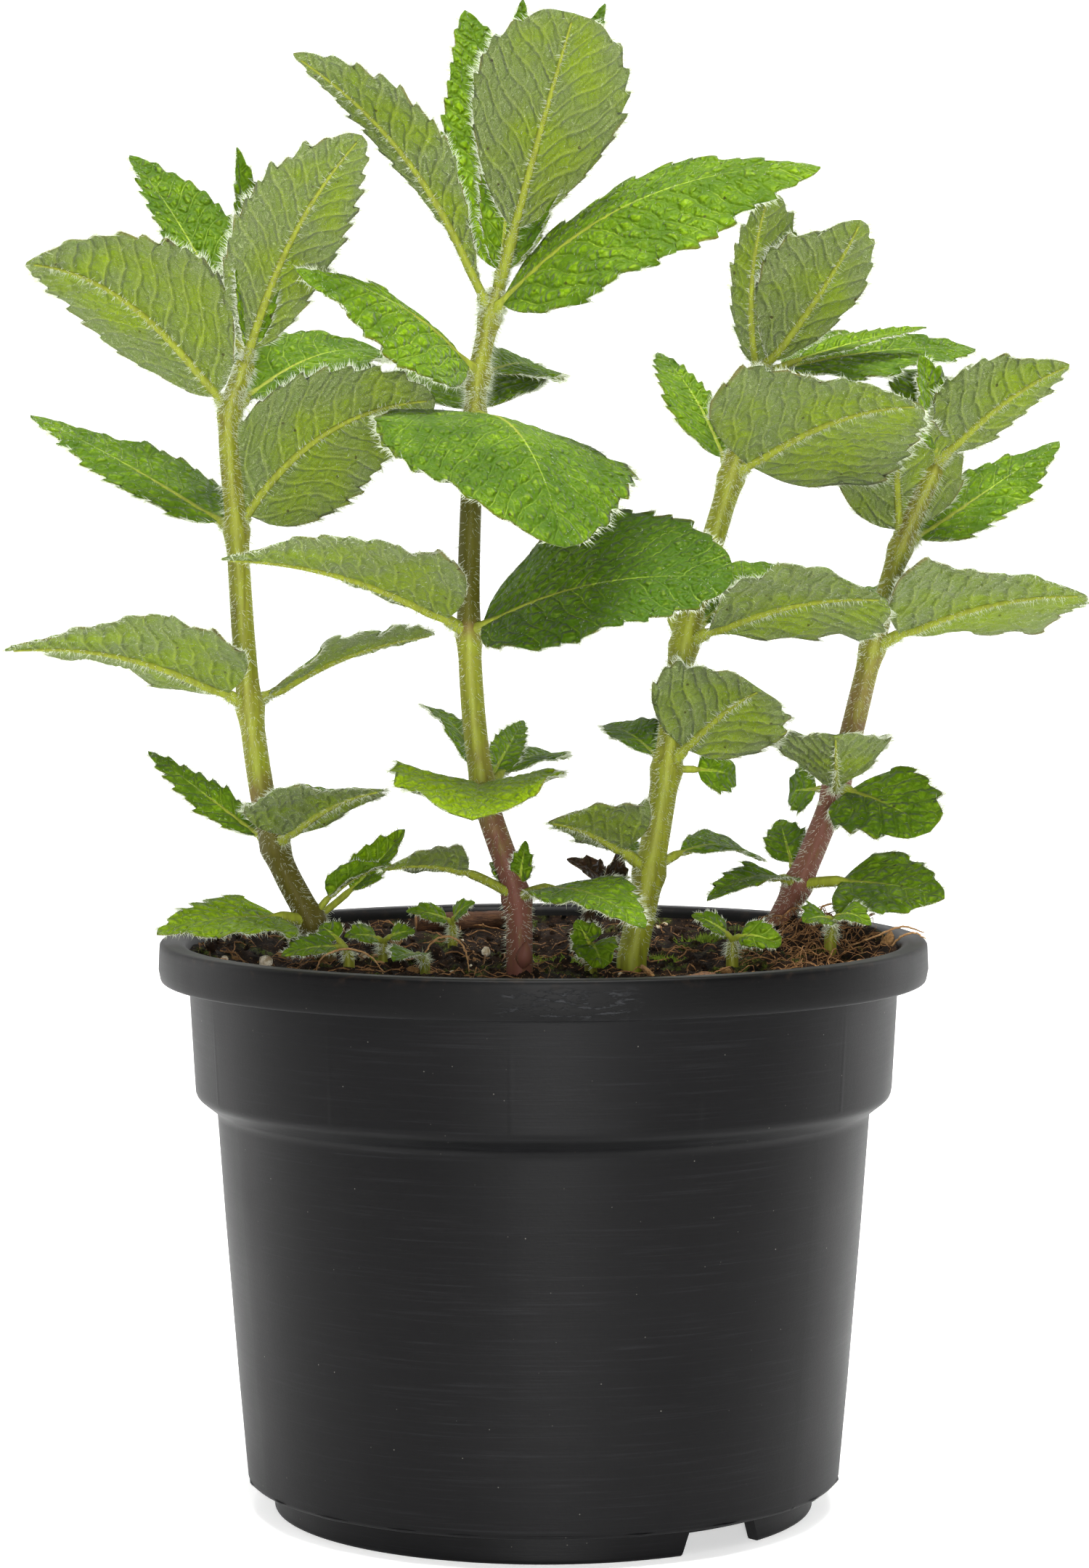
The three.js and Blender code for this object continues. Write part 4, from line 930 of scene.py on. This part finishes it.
def makePot():
    m = potMake
    t, foot, rim, top = m["thickness"], m["footRadius"], m["rimRadius"], m["rimHeight"]
    lipFoot = top - m["rimDrop"]
    # radius, height and rounding of each corner, from the axis under the floor round to the axis inside
    outside = [
        (0, m["floor"], 0), (foot - m["footWidth"], m["floor"], 0.4), (foot - m["footWidth"], 0, 0.3),
        (foot, 0, 0.7), (foot, m["wallEnd"], 0.3), (m["wallFoot"] - 0.3, m["wallEnd"], 0.15),
        (m["wallFoot"], m["wallEnd"] + 0.5, 0.2), *((r, z, 0) for r, z in m["wallBends"]),
        (m["wallTop"], m["stepFoot"], 0.9), (m["collarFoot"], m["stepTop"], 0.9),
        (m["collarRadius"], lipFoot, 0.6), (rim - 0.4, lipFoot, 0.45), (rim, 92.5, 0), (rim - 0.2, top, 0.8),
        (61, top, 1.2),
    ]
    inside = [(59.7, 93.8, 1.4), (m["collarRadius"] - t, lipFoot, 0.8), (57.6, m["stepTop"], 0.8),
              (54, m["stepFoot"], 0.8), (49, 6.8, 1.2), (47.5, m["floor"] + t, 0.8), (0, m["floor"] + t, 0)]
    outline = roundedOutline(outside + inside)
    ribAngles = np.radians(m["ribTurn"] + 360 / m["ribs"] * np.arange(m["ribs"]))
    even = np.linspace(0, 2 * np.pi, m["segments"], endpoint=False)
    extra = (ribAngles[:, None] + np.radians([-0.9, -0.6, -0.3, 0, 0.3, 0.6, 0.9])).ravel() % (2 * np.pi)
    angles = np.unique(np.round(np.concatenate([even, extra]), 5))

    def shift(angle, r, z):
        apart = np.abs((angle[..., None] - ribAngles + np.pi) % (2 * np.pi) - np.pi).min(-1)
        collar = (z > m["stepTop"] + 1) & (z < lipFoot - 0.5) & (r > 59)
        fade = np.clip((m["ribTop"] - z) / 10, 0, 1)  # the ribs run out towards the lip
        rib = m["ribProud"] * np.clip(1 - apart / np.radians(0.5), 0, 1) * collar * fade
        ragged = np.sin(angle * 23) + np.sin(angle * 41 + 1) + np.sin(angle * 97 + 2) - 0.6
        ragged = np.clip(ragged, 0, 1.5) / 1.5
        flash = m["flash"] * ragged * ((z > m["wallEnd"] - 0.05) & (z < m["wallEnd"] + 0.45) & (r > 49))
        return rib + flash

    points, faces = turned(outline, angles, shift)
    pot = plainMesh("potShell", points, faces)
    cutters = []
    for k in range(m["drainHoles"]):
        turn = 2 * np.pi * (k + 0.5) / m["drainHoles"]
        x, y = m["drainCircle"] * math.sin(turn), -m["drainCircle"] * math.cos(turn)
        route = [(x, y, 0), (x, y, 4), (x, y, 9)]
        cutters.append(plainMesh("drain", *tubeMesh(route, [m["drainRadius"]] * 3, 40, start=(1, 0, 0))))
    for turn in m["notchTurns"]:
        # a gap in the foot ring, wider at the bottom
        sine, cosine = math.sin(math.radians(turn)), math.cos(math.radians(turn))
        out, wide = np.array([sine, -cosine, 0]), np.array([cosine, sine, 0])
        corners = []
        for z, half in ((-1, m["notchWidth"] / 2 + 0.4), (m["floor"], m["notchWidth"] / 2 - 1.4)):
            for r, side in ((41, -1), (48, -1), (48, 1), (41, 1)):
                corners.append(out * r + wide * side * half + (0, 0, z))
        sides = [(0, 3, 2, 1), (4, 5, 6, 7), (0, 1, 5, 4), (1, 2, 6, 5), (2, 3, 7, 6), (3, 0, 4, 7)]
        cutters.append(plainMesh("notch", corners, [sides]))
    cutAway(pot, cutters)
    pot.data.polygons.foreach_set("use_smooth", np.ones(len(pot.data.polygons), bool))
    pot.data.set_sharp_from_angle(angle=math.radians(38))
    pot.data.materials.clear()
    pot.data.materials.append(potFinish())
    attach(pot, "root")
    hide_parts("pot")


makePot()
print("pot made")


# The potting mix and what lies on it

soilMake = {
    "level": 91.6, "ringStep": 0.84, "segments": 350, "topRadius": 60.2, "clods": 0.9, "grit": 0.55,
    "bank": 3.2, "bankWidth": 11,  # how far and how wide the mix is banked up against the lip
    "heapAt": (47, 18), "heapTall": 6.5, "backRise": 2.2,
    "reach": 59.3,  # how far from the axis loose things lie
    "crumbs": 1300, "clumps": 40, "perlite": 60, "chips": 22, "fibres": 680,
    "heapFibres": 0.3, "fibreHeap": ((47, 10), (6, 12)),  # the share that gathers there, and its spread
}
looseRoots = [
    [(-38.5, -8, 92.2), (-37.2, -8.5, 94.6), (-35, -9, 95.8), (-32.4, -8.6, 96), (-29.4, -8, 95),
     (-26.7, -7.5, 91.9)],
    [(-21.5, -5, 91.8), (-19.6, -5, 95.8), (-17.6, -5.4, 97.6), (-15.6, -5.6, 97.8), (-13.9, -5, 96.6),
     (-13, -4.6, 94.4), (-12.6, -4.4, 91.8)],
    [(49, 19, 96), (47.6, 18.6, 99.2), (49.4, 18.8, 101), (52.4, 18.4, 100.4), (54, 18.6, 97.4),
     (53.2, 19, 94)],
    [(56, 2, 92), (58.5, 0, 95), (61, -2, 97.6), (63, -3, 98.2), (64.6, -5, 97.4)],
    [(52, 6, 95), (57, 4, 97), (61.4, 4, 98.6), (64.8, 2, 97.8)],
    [(18, -30, 92), (24, -33, 93.2), (33, -30, 93.4), (40, -31, 92.6), (46, -27, 93.2), (50, -22, 92)],
]
# each patch's place, its spread and how tall it stands
mossPatches = [(2.5, 12, 4, 1.7), (7, 4, 3, 1.5), (29, 33, 4, 1.9), (-3, 21, 3, 1.4), (-28, 15, 4, 1.5),
               (21, 11, 3, 1.6), (12, 24, 3, 1.5)]


def soilHeight(x, y):
    # the same gentle heap as the part's own solid
    m = soilMake
    ripple = 0.5 * np.sin(x / 5.3 + 1.2) * np.cos(y / 6.1) + 0.35 * np.sin((x + 2 * y) / 4.3)
    rise = np.clip((y - 20) / 30, 0, 1)
    rim = np.clip((np.hypot(x, y) - 48) / 8, 0, 1)
    rise, rim = rise**2 * (3 - 2 * rise), rim**2 * (3 - 2 * rim)
    heapX, heapY = m["heapAt"]
    heap = m["heapTall"] * np.exp(-(((x - heapX) / 14) ** 2 + ((y - heapY) / 18) ** 2))
    bank = np.clip((np.hypot(x, y) - m["topRadius"]) / m["bankWidth"] + 1, 0, 1)
    bank = m["bank"] * bank**2 * (3 - 2 * bank) * (1 - rise)
    return m["level"] + ripple + m["backRise"] * rise + heap * (1 - 0.5 * rim) + bank


def lipSlope(r):
    # the pot's inner face at this radius, which the mix lies against
    return np.where(r > 59.7, 93.9 + 2.4 * (r - 59.7), 90.5 + 3.4 * (r - 58.7))


def roughHeight(x, y):
    # clods and grit on top of the heap
    spot = Vector((x * 0.28, y * 0.28, 3))
    clod = noise.voronoi(Vector((x * 0.42, y * 0.42, 0)))[0][0]
    grit = noise.fractal(spot * 3.2, 0.6, 2.1, 4)
    return soilMake["clods"] * (0.45 - clod) + soilMake["grit"] * grit + 0.5 * noise.noise(spot)


def soilFinish(name):
    f = Finish(name, IOR=1.35, Specular_IOR_Level=0.3)
    spot = f.place()
    clump = f.cloud(spot, 0.35, 5, 0.7)
    grain = f.cloud(spot, 2.2, 5, 0.75)
    strand = f.cloud(f.scaled(spot, (0.5, 2.4, 1.5)), 1.1, 4, 0.7)
    fleck = f.cells(spot, 1.3)
    colour = f.mix(f.step(clump, 0.35, 0.65), "#0f0a07", "#2b1c12")
    colour = f.mix(f.step(grain, 0.54, 0.72) * 0.7, colour, "#664a2c")
    colour = f.mix(f.step(strand, 0.6, 0.72) * 0.7, colour, "#9a7448")
    colour = f.mix(f.step(fleck, 0.2, 0.1) * f.step(clump, 0.45, 0.55), colour, "#b08d5c")
    algae = f.step(f.cloud(spot, 0.13, 3), 0.54, 0.66) * f.step(grain, 0.42, 0.6)
    colour = f.mix(algae * 0.7, colour, "#5f7420")
    f.wear(Base_Color=colour, Roughness=0.8 + grain * 0.2,
           Normal=f.bump(grain + strand * 0.6, 0.8, 0.5 * mm, f.bump(clump, 0.5, 0.8 * mm)))
    return f.material


def woodFinish(name, pale, dark, stretch=(1, 1, 1)):
    f = Finish(name, IOR=1.45, Specular_IOR_Level=0.25)
    spot = f.place()
    grain = f.cloud(f.scaled(spot, stretch), 1.4, 5, 0.7)
    tint = f.cloud(spot, 0.4, 3)
    colour = f.mix(f.step(grain, 0.35, 0.7), dark, pale)
    colour = f.mix(f.step(tint, 0.4, 0.7) * 0.5, colour, f.mix(0.5, dark, pale))
    f.wear(Base_Color=colour, Roughness=0.65 + grain * 0.3, Normal=f.bump(grain, 0.8, 0.3 * mm))
    return f.material


def perliteFinish():
    f = Finish("perlite", IOR=1.5)
    spot = f.place()
    pore = f.cells(spot, 3.0)
    dirt = f.cloud(spot, 0.9, 4)
    colour = f.mix(f.step(dirt, 0.4, 0.65), "#ddd3bd", "#a08c68")
    f.wear(Base_Color=colour, Roughness=0.75 + dirt * 0.2, Normal=f.bump(pore, 0.9, 0.3 * mm))
    return f.material


def stoneShape(level):
    # a ball of triangles, as points and faces
    ball = bpy.data.meshes.new("ball")
    bm = bmesh.new()
    bmesh.ops.create_icosphere(bm, subdivisions=level, radius=1)
    bm.to_mesh(ball)
    bm.free()
    points = np.array([v.co[:] for v in ball.vertices])
    faces = np.array([p.vertices[:] for p in ball.polygons])
    bpy.data.meshes.remove(ball)
    return points, faces


def spin(rng):
    # a random turn, as a matrix
    w, x, y, z = unit(rng.normal(0, 1, 4))
    return np.array([[1 - 2 * (y * y + z * z), 2 * (x * y - z * w), 2 * (x * z + y * w)],
                     [2 * (x * y + z * w), 1 - 2 * (x * x + z * z), 2 * (y * z - x * w)],
                     [2 * (x * z - y * w), 2 * (y * z + x * w), 1 - 2 * (x * x + y * y)]])


def surfaceAt(x, y):
    return float(soilHeight(x, y)) + roughHeight(x, y)


def onSoil(rng, reach=soilMake["reach"]):
    r, turn = reach * math.sqrt(rng.uniform(0, 1)), rng.uniform(0, 2 * np.pi)
    x, y = r * math.sin(turn), -r * math.cos(turn)
    return x, y, surfaceAt(x, y)


def strew(heap, number, shape, sizes, rng, squash=(1, 0.75, 0.6), jag=0.35, sink=0.3, spots=None):
    # lumps of one shape, each of its own size and turn, on random spots or on those given
    points, faces = shape
    for k in range(number):
        x, y, z = onSoil(rng) if spots is None else spots[k]
        size = rng.uniform(*sizes)
        lumps = 1 + jag * rng.uniform(-1, 1, len(points))
        body = points * lumps[:, None] * np.array(squash) * size
        heap.add(body @ spin(rng).T + (x, y, z + size * sink), [faces])


def makeMix():
    # the pot's whole filling, from the axis below round to the axis on top
    m = soilMake
    rings = int(m["topRadius"] / m["ringStep"])
    radii = np.linspace(m["topRadius"], m["ringStep"], rings)
    angles = np.linspace(0, 2 * np.pi, m["segments"], endpoint=False)
    inner = [(0.0, 5.65), (47, 5.65), (48.6, 7.1), (53.6, 68.4), (57.2, 71.3), (58.3, 90.2), (59.3, 93.4)]
    points = [np.stack([r * np.sin(angles), -r * np.cos(angles), np.full(len(angles), z)], -1)
              for r, z in inner[1:]]
    for r in radii:
        x, y = r * np.sin(angles), -r * np.cos(angles)
        rough = np.array([roughHeight(a, b) for a, b in zip(x, y)]) * min(1, (m["topRadius"] - r) / 1.5)
        points.append(np.stack([x, y, np.maximum(soilHeight(x, y) + rough, lipSlope(r))], -1))
    faces = ringFaces(len(points), len(angles))
    points = np.concatenate([np.concatenate(points), [[0, 0, inner[0][1]], [0, 0, surfaceAt(0.0, 0.0)]]])
    makePiece("pottingMix", points, faces, soilFinish("pottingMix"), "potting_mix", replaced=["potting_mix"])


def strewLumps(rng):
    # crumbs and clods, white grains, and flakes of wood
    m = soilMake
    crumbs = Heap()
    strew(crumbs, m["crumbs"], stoneShape(1), (0.25, 0.85), rng)
    strew(crumbs, m["clumps"], stoneShape(2), (0.9, 1.9), rng, jag=0.28)
    crumbs.make("soilCrumbs", soilFinish("crumbledMix"), "potting_mix")

    grains = Heap()
    # a few white grains lie together at the left, and larger ones singly
    spots = [(-54 + 8 * rng.uniform(), -12 + 10 * rng.uniform()) for _ in range(7)]
    spots = [(x, y, float(soilHeight(x, y)) + 0.6) for x, y in spots]
    strew(grains, len(spots), stoneShape(2), (0.5, 0.95), rng, (1, 0.85, 0.8), 0.14, 0.4, spots)
    strew(grains, m["perlite"], stoneShape(2), (0.25, 0.6), rng, (1, 0.85, 0.8), 0.14, 0.4)
    lumps = [(-10, 17, 92.6), (7, 2.7, 92.4), (-31, 12, 92.3), (-47, -4, 93)]
    strew(grains, len(lumps), stoneShape(2), (0.9, 1.3), rng, (1, 0.9, 0.8), 0.16, 0.3, lumps)
    grains.make("perliteGrains", perliteFinish(), "potting_mix")

    chips = Heap()
    strew(chips, m["chips"], stoneShape(2), (1.0, 2.4), rng, (1, 0.5, 0.22), 0.16, 0.2)
    chips.make("woodFlakes", woodFinish("paleFlake", "#b08a58", "#6d4d2e", (0.4, 2, 2)), "wood")


def layFibres(rng):
    # short coir fibres that wander over the mix, more of them on the heap; then the loose roots
    m = soilMake
    fibres, roots = Heap(), Heap()
    for _ in range(m["fibres"]):
        x, y, z = onSoil(rng, m["reach"] - 0.5)
        heaped = rng.uniform() < m["heapFibres"]
        if heaped:
            (x, y), (wide, deep) = m["fibreHeap"]
            x, y = x + rng.normal(0, wide), y + rng.normal(0, deep)
            x, y = np.array([x, y]) * min(1, 58 / math.hypot(x, y))
        turn, steps = rng.uniform(0, 2 * np.pi), rng.integers(6, 11)
        stretch = rng.uniform(0.5, 1.5)
        bow = rng.uniform(0, 3.2 if heaped else 1.4) * (rng.uniform() < 0.5)
        path = []
        for s in range(steps):
            lift = 0.15 + bow * math.sin(np.pi * s / (steps - 1))
            path.append((x, y, surfaceAt(x, y) + lift))
            turn += rng.normal(0, 0.35)
            nx, ny = x + stretch * math.cos(turn), y + stretch * math.sin(turn)
            if math.hypot(nx, ny) < m["reach"] - 0.1:
                x, y = nx, ny
            else:
                turn += 2.2
                x, y = x * 0.99, y * 0.99 + 0.3
        radius = rng.uniform(0.05, 0.15)
        radii = radius * (1 - 0.6 * np.linspace(-1, 1, steps) ** 2)
        fibres.add(*tubeMesh(path, radii, 4, start=(0.3, 0.4, 0.8)))
    fibres.make("coirFibres", woodFinish("coir", "#b08354", "#5a3c24"), "potting_mix")
    for route in looseRoots:
        path = smoothPath(route, 7)
        path = path + rng.normal(0, 0.06, path.shape)
        radii = 0.2 * (1 - 0.55 * np.linspace(-1, 1, len(path)) ** 2)
        roots.add(*tubeMesh(path, radii, 6, start=(0.3, 0.9, 0.2)))
    roots.make("looseRoots", woodFinish("rootSkin", "#c6a170", "#8a633c"), "potting_mix")


def growMoss(rng):
    # patches of upright moss leaves, fewer towards the edge of a patch
    moss, tufts = Heap(), []
    for x, y, spread, tall in mossPatches:
        number = int(60 * spread)
        a, b = x + rng.normal(0, spread / 2, number), y + rng.normal(0, spread / 2.4, number)
        keep = np.hypot(a, b) < 54
        a, b = a[keep], b[keep]
        z = soilHeight(a, b) + np.array([roughHeight(p, q) for p, q in zip(a, b)])
        ways = unit(np.stack([rng.normal(0, 0.5, len(a)), rng.normal(0, 0.5, len(a)), np.ones(len(a))], -1))
        tufts.append((np.stack([a, b, z - 0.2], -1), ways, rng.uniform(0.5, 1, len(a)) * tall, 0.42))
    hairMesh(moss, tufts)
    moss.make("moss", woodFinish("mossGreen", "#94ae2e", "#4c661c"), "young_leaf")


makeMix()
soilDraws = np.random.default_rng(11)
strewLumps(soilDraws)
layFibres(soilDraws)
growMoss(soilDraws)
print("potting mix made")


# Twig and bark

twigMake = {"start": (-23, 47, 95.2), "end": (-5, 50, 95.5), "radius": 1.75, "taper": 0.08, "sides": 26}


def makeTwig():
    m = twigMake
    start, end, sides = np.array(m["start"]), np.array(m["end"]), m["sides"]
    t = np.linspace(0, 1, 70)
    path = start + (end - start) * t[:, None]
    radii = m["radius"] * (1 - m["taper"] * t)
    radii[0], radii[-1] = radii[0] * 0.86, radii[-1] * 0.7
    points, faces = tubeMesh(path, radii, sides, start=(0, 0, 1))
    for k, p in enumerate(points[:-2]):
        centre = path[k // sides]
        way = p - centre
        grain = noise.fractal(Vector((p[0] * 0.25, p[1] * 1.6, p[2] * 1.6)), 0.7, 2.0, 4)
        points[k] = centre + way * (0.93 + 0.1 * grain)
    makePiece("twigWood", points, faces, woodFinish("twigBark", "#6b4a33", "#33221a", (0.35, 2.2, 2.2)),
              "wood", replaced=["twig"])
    # the pale wood that shows where it was cut
    axis = (end - start) / np.linalg.norm(end - start)
    core = [start - axis * 0.12, start - axis * 0.02, start + axis * 0.4]
    disc = Heap()
    disc.add(*tubeMesh(core, [1.2, 1.32, 1.3], sides, start=(0, 0, 1)))
    disc.make("twigCutEnd", woodFinish("cutWood", "#b98c5c", "#8a603a", (2, 2, 2)), "wood")


# each chip's place, its length, width and thickness, and its turn in degrees
barkChips = [((-46, -19, 92.9), (7, 4, 1.2), 25), ((6, -32, 92.9), (6, 4, 1.2), -15),
             ((26, -24, 93.1), (8, 3.5, 1.3), 60)]


def makeBarkChip(number, at, size, turn):
    # a splintered flake with ridges along it
    rows, cols = 30, 18
    u, v = np.meshgrid(np.linspace(-1, 1, rows), np.linspace(-1, 1, cols), indexing="ij")
    long, wide, thick = size
    ragged = np.array([[noise.noise(Vector((b * 5, number * 9, 1 if a > 0 else 4))) for b in v[0]]
                       for a in u[:, 0]])
    narrow = np.array([0.8 + 0.2 * noise.noise(Vector((a * 3, number * 7, 2))) for a in u[:, 0]])[:, None]
    x = long / 2 * u * (0.9 - 0.1 * np.abs(ragged)) * (1 - 0.12 * v**2)
    y = wide / 2 * v * narrow
    ridges = np.array([[noise.fractal(Vector((a * 1.5, b * 6, number)), 0.7, 2, 4) for b in v[0]]
                       for a in u[:, 0]])
    edge = (1 - u**8) * (1 - v**6)
    top = thick / 2 * (0.35 + 0.65 * edge) * (0.8 + 0.3 * ridges)
    low = -thick / 2 * (0.35 + 0.6 * edge)
    points = np.concatenate([np.stack([x, y, side], -1).reshape(-1, 3) for side in (top, low)])
    sine, cosine = math.sin(math.radians(turn)), math.cos(math.radians(turn))
    turning = np.array([[cosine, -sine, 0], [sine, cosine, 0], [0, 0, 1]])
    makePiece(f"barkChip{number}", points @ turning.T + at, sheetFaces(rows, cols, (0, 3, 2, 1)),
              woodFinish(f"bark{number}", "#8a6342", "#3a271b", (0.6, 1.6, 2)), "wood",
              replaced=[f"bark_chip_{number}"])


makeTwig()
for number, (at, size, turn) in enumerate(barkChips, 1):
    makeBarkChip(number, at, size, turn)
print("twig and bark made")


# Light, floor and camera

stageMake = {
    "cameraSpot": (0.18, -764, 174.5), "pitch": 3.833, "lens": 103.6,
    "floor": "#f4f4f3", "floorGlow": 0.5, "glowEnds": (-0.5, -0.1),
    # the room's light by height, as the sine of the angle over the horizon
    "roomLight": [(-0.1, 0.9), (0.05, 0.9), (0.2, 0.22), (1.0, 0.22)],
    # how much of that light the room has on the camera's side and behind the plant
    "roomFront": 0.26, "roomBack": 1.0,
    "lamps": [
        # name, place in metres, what it looks at, size in metres, watts
        ("leftStrip", (-0.95, 0.45, 0.4), (0, 0, 0.15), (0.3, 1.0), 4.6),
        ("rightStrip", (0.9, 0.62, 0.4), (0, 0, 0.15), (0.28, 1.0), 4),
        ("overhead", (0.05, -0.2, 1.3), (0, 0, 0.15), (0.7, 0.5), 28),
        ("frontSoft", (0.1, -1.35, 1.0), (0, 0, 0.15), (0.8, 0.6), 6),
        ("nearCamera", (0.06, -1.15, 0.16), (0, 0, 0.1), (0.13, 0.3), 11),
    ],
}


def makeSweep():
    # a pale floor that sweeps up behind, in metres
    m = stageMake
    width, front, back, tall, bend = 5.0, -6.0, 1.9, 2.6, 0.8
    side = [(front, 0.0)]
    side += [(back - bend + bend * math.sin(a), bend - bend * math.cos(a))
             for a in np.linspace(0, np.pi / 2, 24)]
    side.append((back, tall))
    points = [(x, y, z) for y, z in side for x in (-width, width)]
    faces = [(2 * k, 2 * k + 1, 2 * k + 3, 2 * k + 2) for k in range(len(side) - 1)]
    mesh = bpy.data.meshes.new("sweep")
    mesh.from_pydata(points, [], faces)
    mesh.polygons.foreach_set("use_smooth", np.ones(len(mesh.polygons), bool))
    sweep = bpy.data.objects.new("sweep", mesh)
    bpy.context.scene.collection.objects.link(sweep)
    f = Finish("paleFloor")
    f.wear(Base_Color=f.mix(f.cloud(f.place(1), 3.0, 2) * 0.06, m["floor"], "#e8e8e6"), Roughness=0.9)
    nearer = f.step(f.part(f.place(1), 1), *m["glowEnds"])
    f.wear(Emission_Color=f.mix(nearer, (0.45, 0.45, 0.45, 1), (1, 1, 1, 1)))
    f.shader.inputs["Emission Strength"].default_value = m["floorGlow"]
    mesh.materials.append(f.material)


def makeRoom():
    # a pale room, lighter at the height of the plant and behind it
    m = stageMake
    world = bpy.data.worlds.new("studio")
    bpy.context.scene.world = world
    world.use_nodes = True
    nodes, links = world.node_tree.nodes, world.node_tree.links
    toRamp = nodes.new("ShaderNodeMapRange")
    toRamp.inputs["From Min"].default_value = -1
    height = nodes.new("ShaderNodeSeparateXYZ")
    links.new(nodes.new("ShaderNodeTexCoord").outputs["Generated"], height.inputs[0])
    links.new(height.outputs["Z"], toRamp.inputs["Value"])
    ramp = nodes.new("ShaderNodeValToRGB")
    links.new(toRamp.outputs[0], ramp.inputs[0])
    while len(ramp.color_ramp.elements) < len(m["roomLight"]):
        ramp.color_ramp.elements.new(0.5)
    for stop, (sine, light) in zip(ramp.color_ramp.elements, m["roomLight"]):
        stop.position, stop.color = (sine + 1) / 2, (light, light, light, 1)
    links.new(ramp.outputs[0], nodes["Background"].inputs["Color"])
    depth = nodes.new("ShaderNodeMapRange")
    for socket, value in (("From Min", -0.4), ("From Max", 0.5), ("To Min", m["roomFront"]),
                          ("To Max", m["roomBack"])):
        depth.inputs[socket].default_value = value
    links.new(height.outputs["Y"], depth.inputs["Value"])
    links.new(depth.outputs[0], nodes["Background"].inputs["Strength"])


def hangLamps():
    for name, at, target, (wide, tall), power in stageMake["lamps"]:
        lamp = bpy.data.lights.new(name, "AREA")
        lamp.shape, lamp.size, lamp.size_y, lamp.energy = "RECTANGLE", wide, tall, power
        holder = bpy.data.objects.new(name, lamp)
        holder.location = at
        holder.rotation_euler = (Vector(target) - Vector(at)).to_track_quat("-Z", "Y").to_euler()
        bpy.context.scene.collection.objects.link(holder)


def setCamera():
    m = stageMake
    camera = bpy.data.cameras.new("camera")
    camera.lens, camera.sensor_width, camera.sensor_fit = m["lens"], 36, "AUTO"
    camera.clip_end = 20
    seer = bpy.data.objects.new("camera", camera)
    seer.location = [c * mm for c in m["cameraSpot"]]
    seer.rotation_euler = (math.radians(90 - m["pitch"]), 0, 0)
    bpy.context.scene.collection.objects.link(seer)
    bpy.context.scene.camera = seer
    bpy.context.scene.view_settings.view_transform = "Standard"


makeSweep()
makeRoom()
hangLamps()
setCamera()
print("stage set")
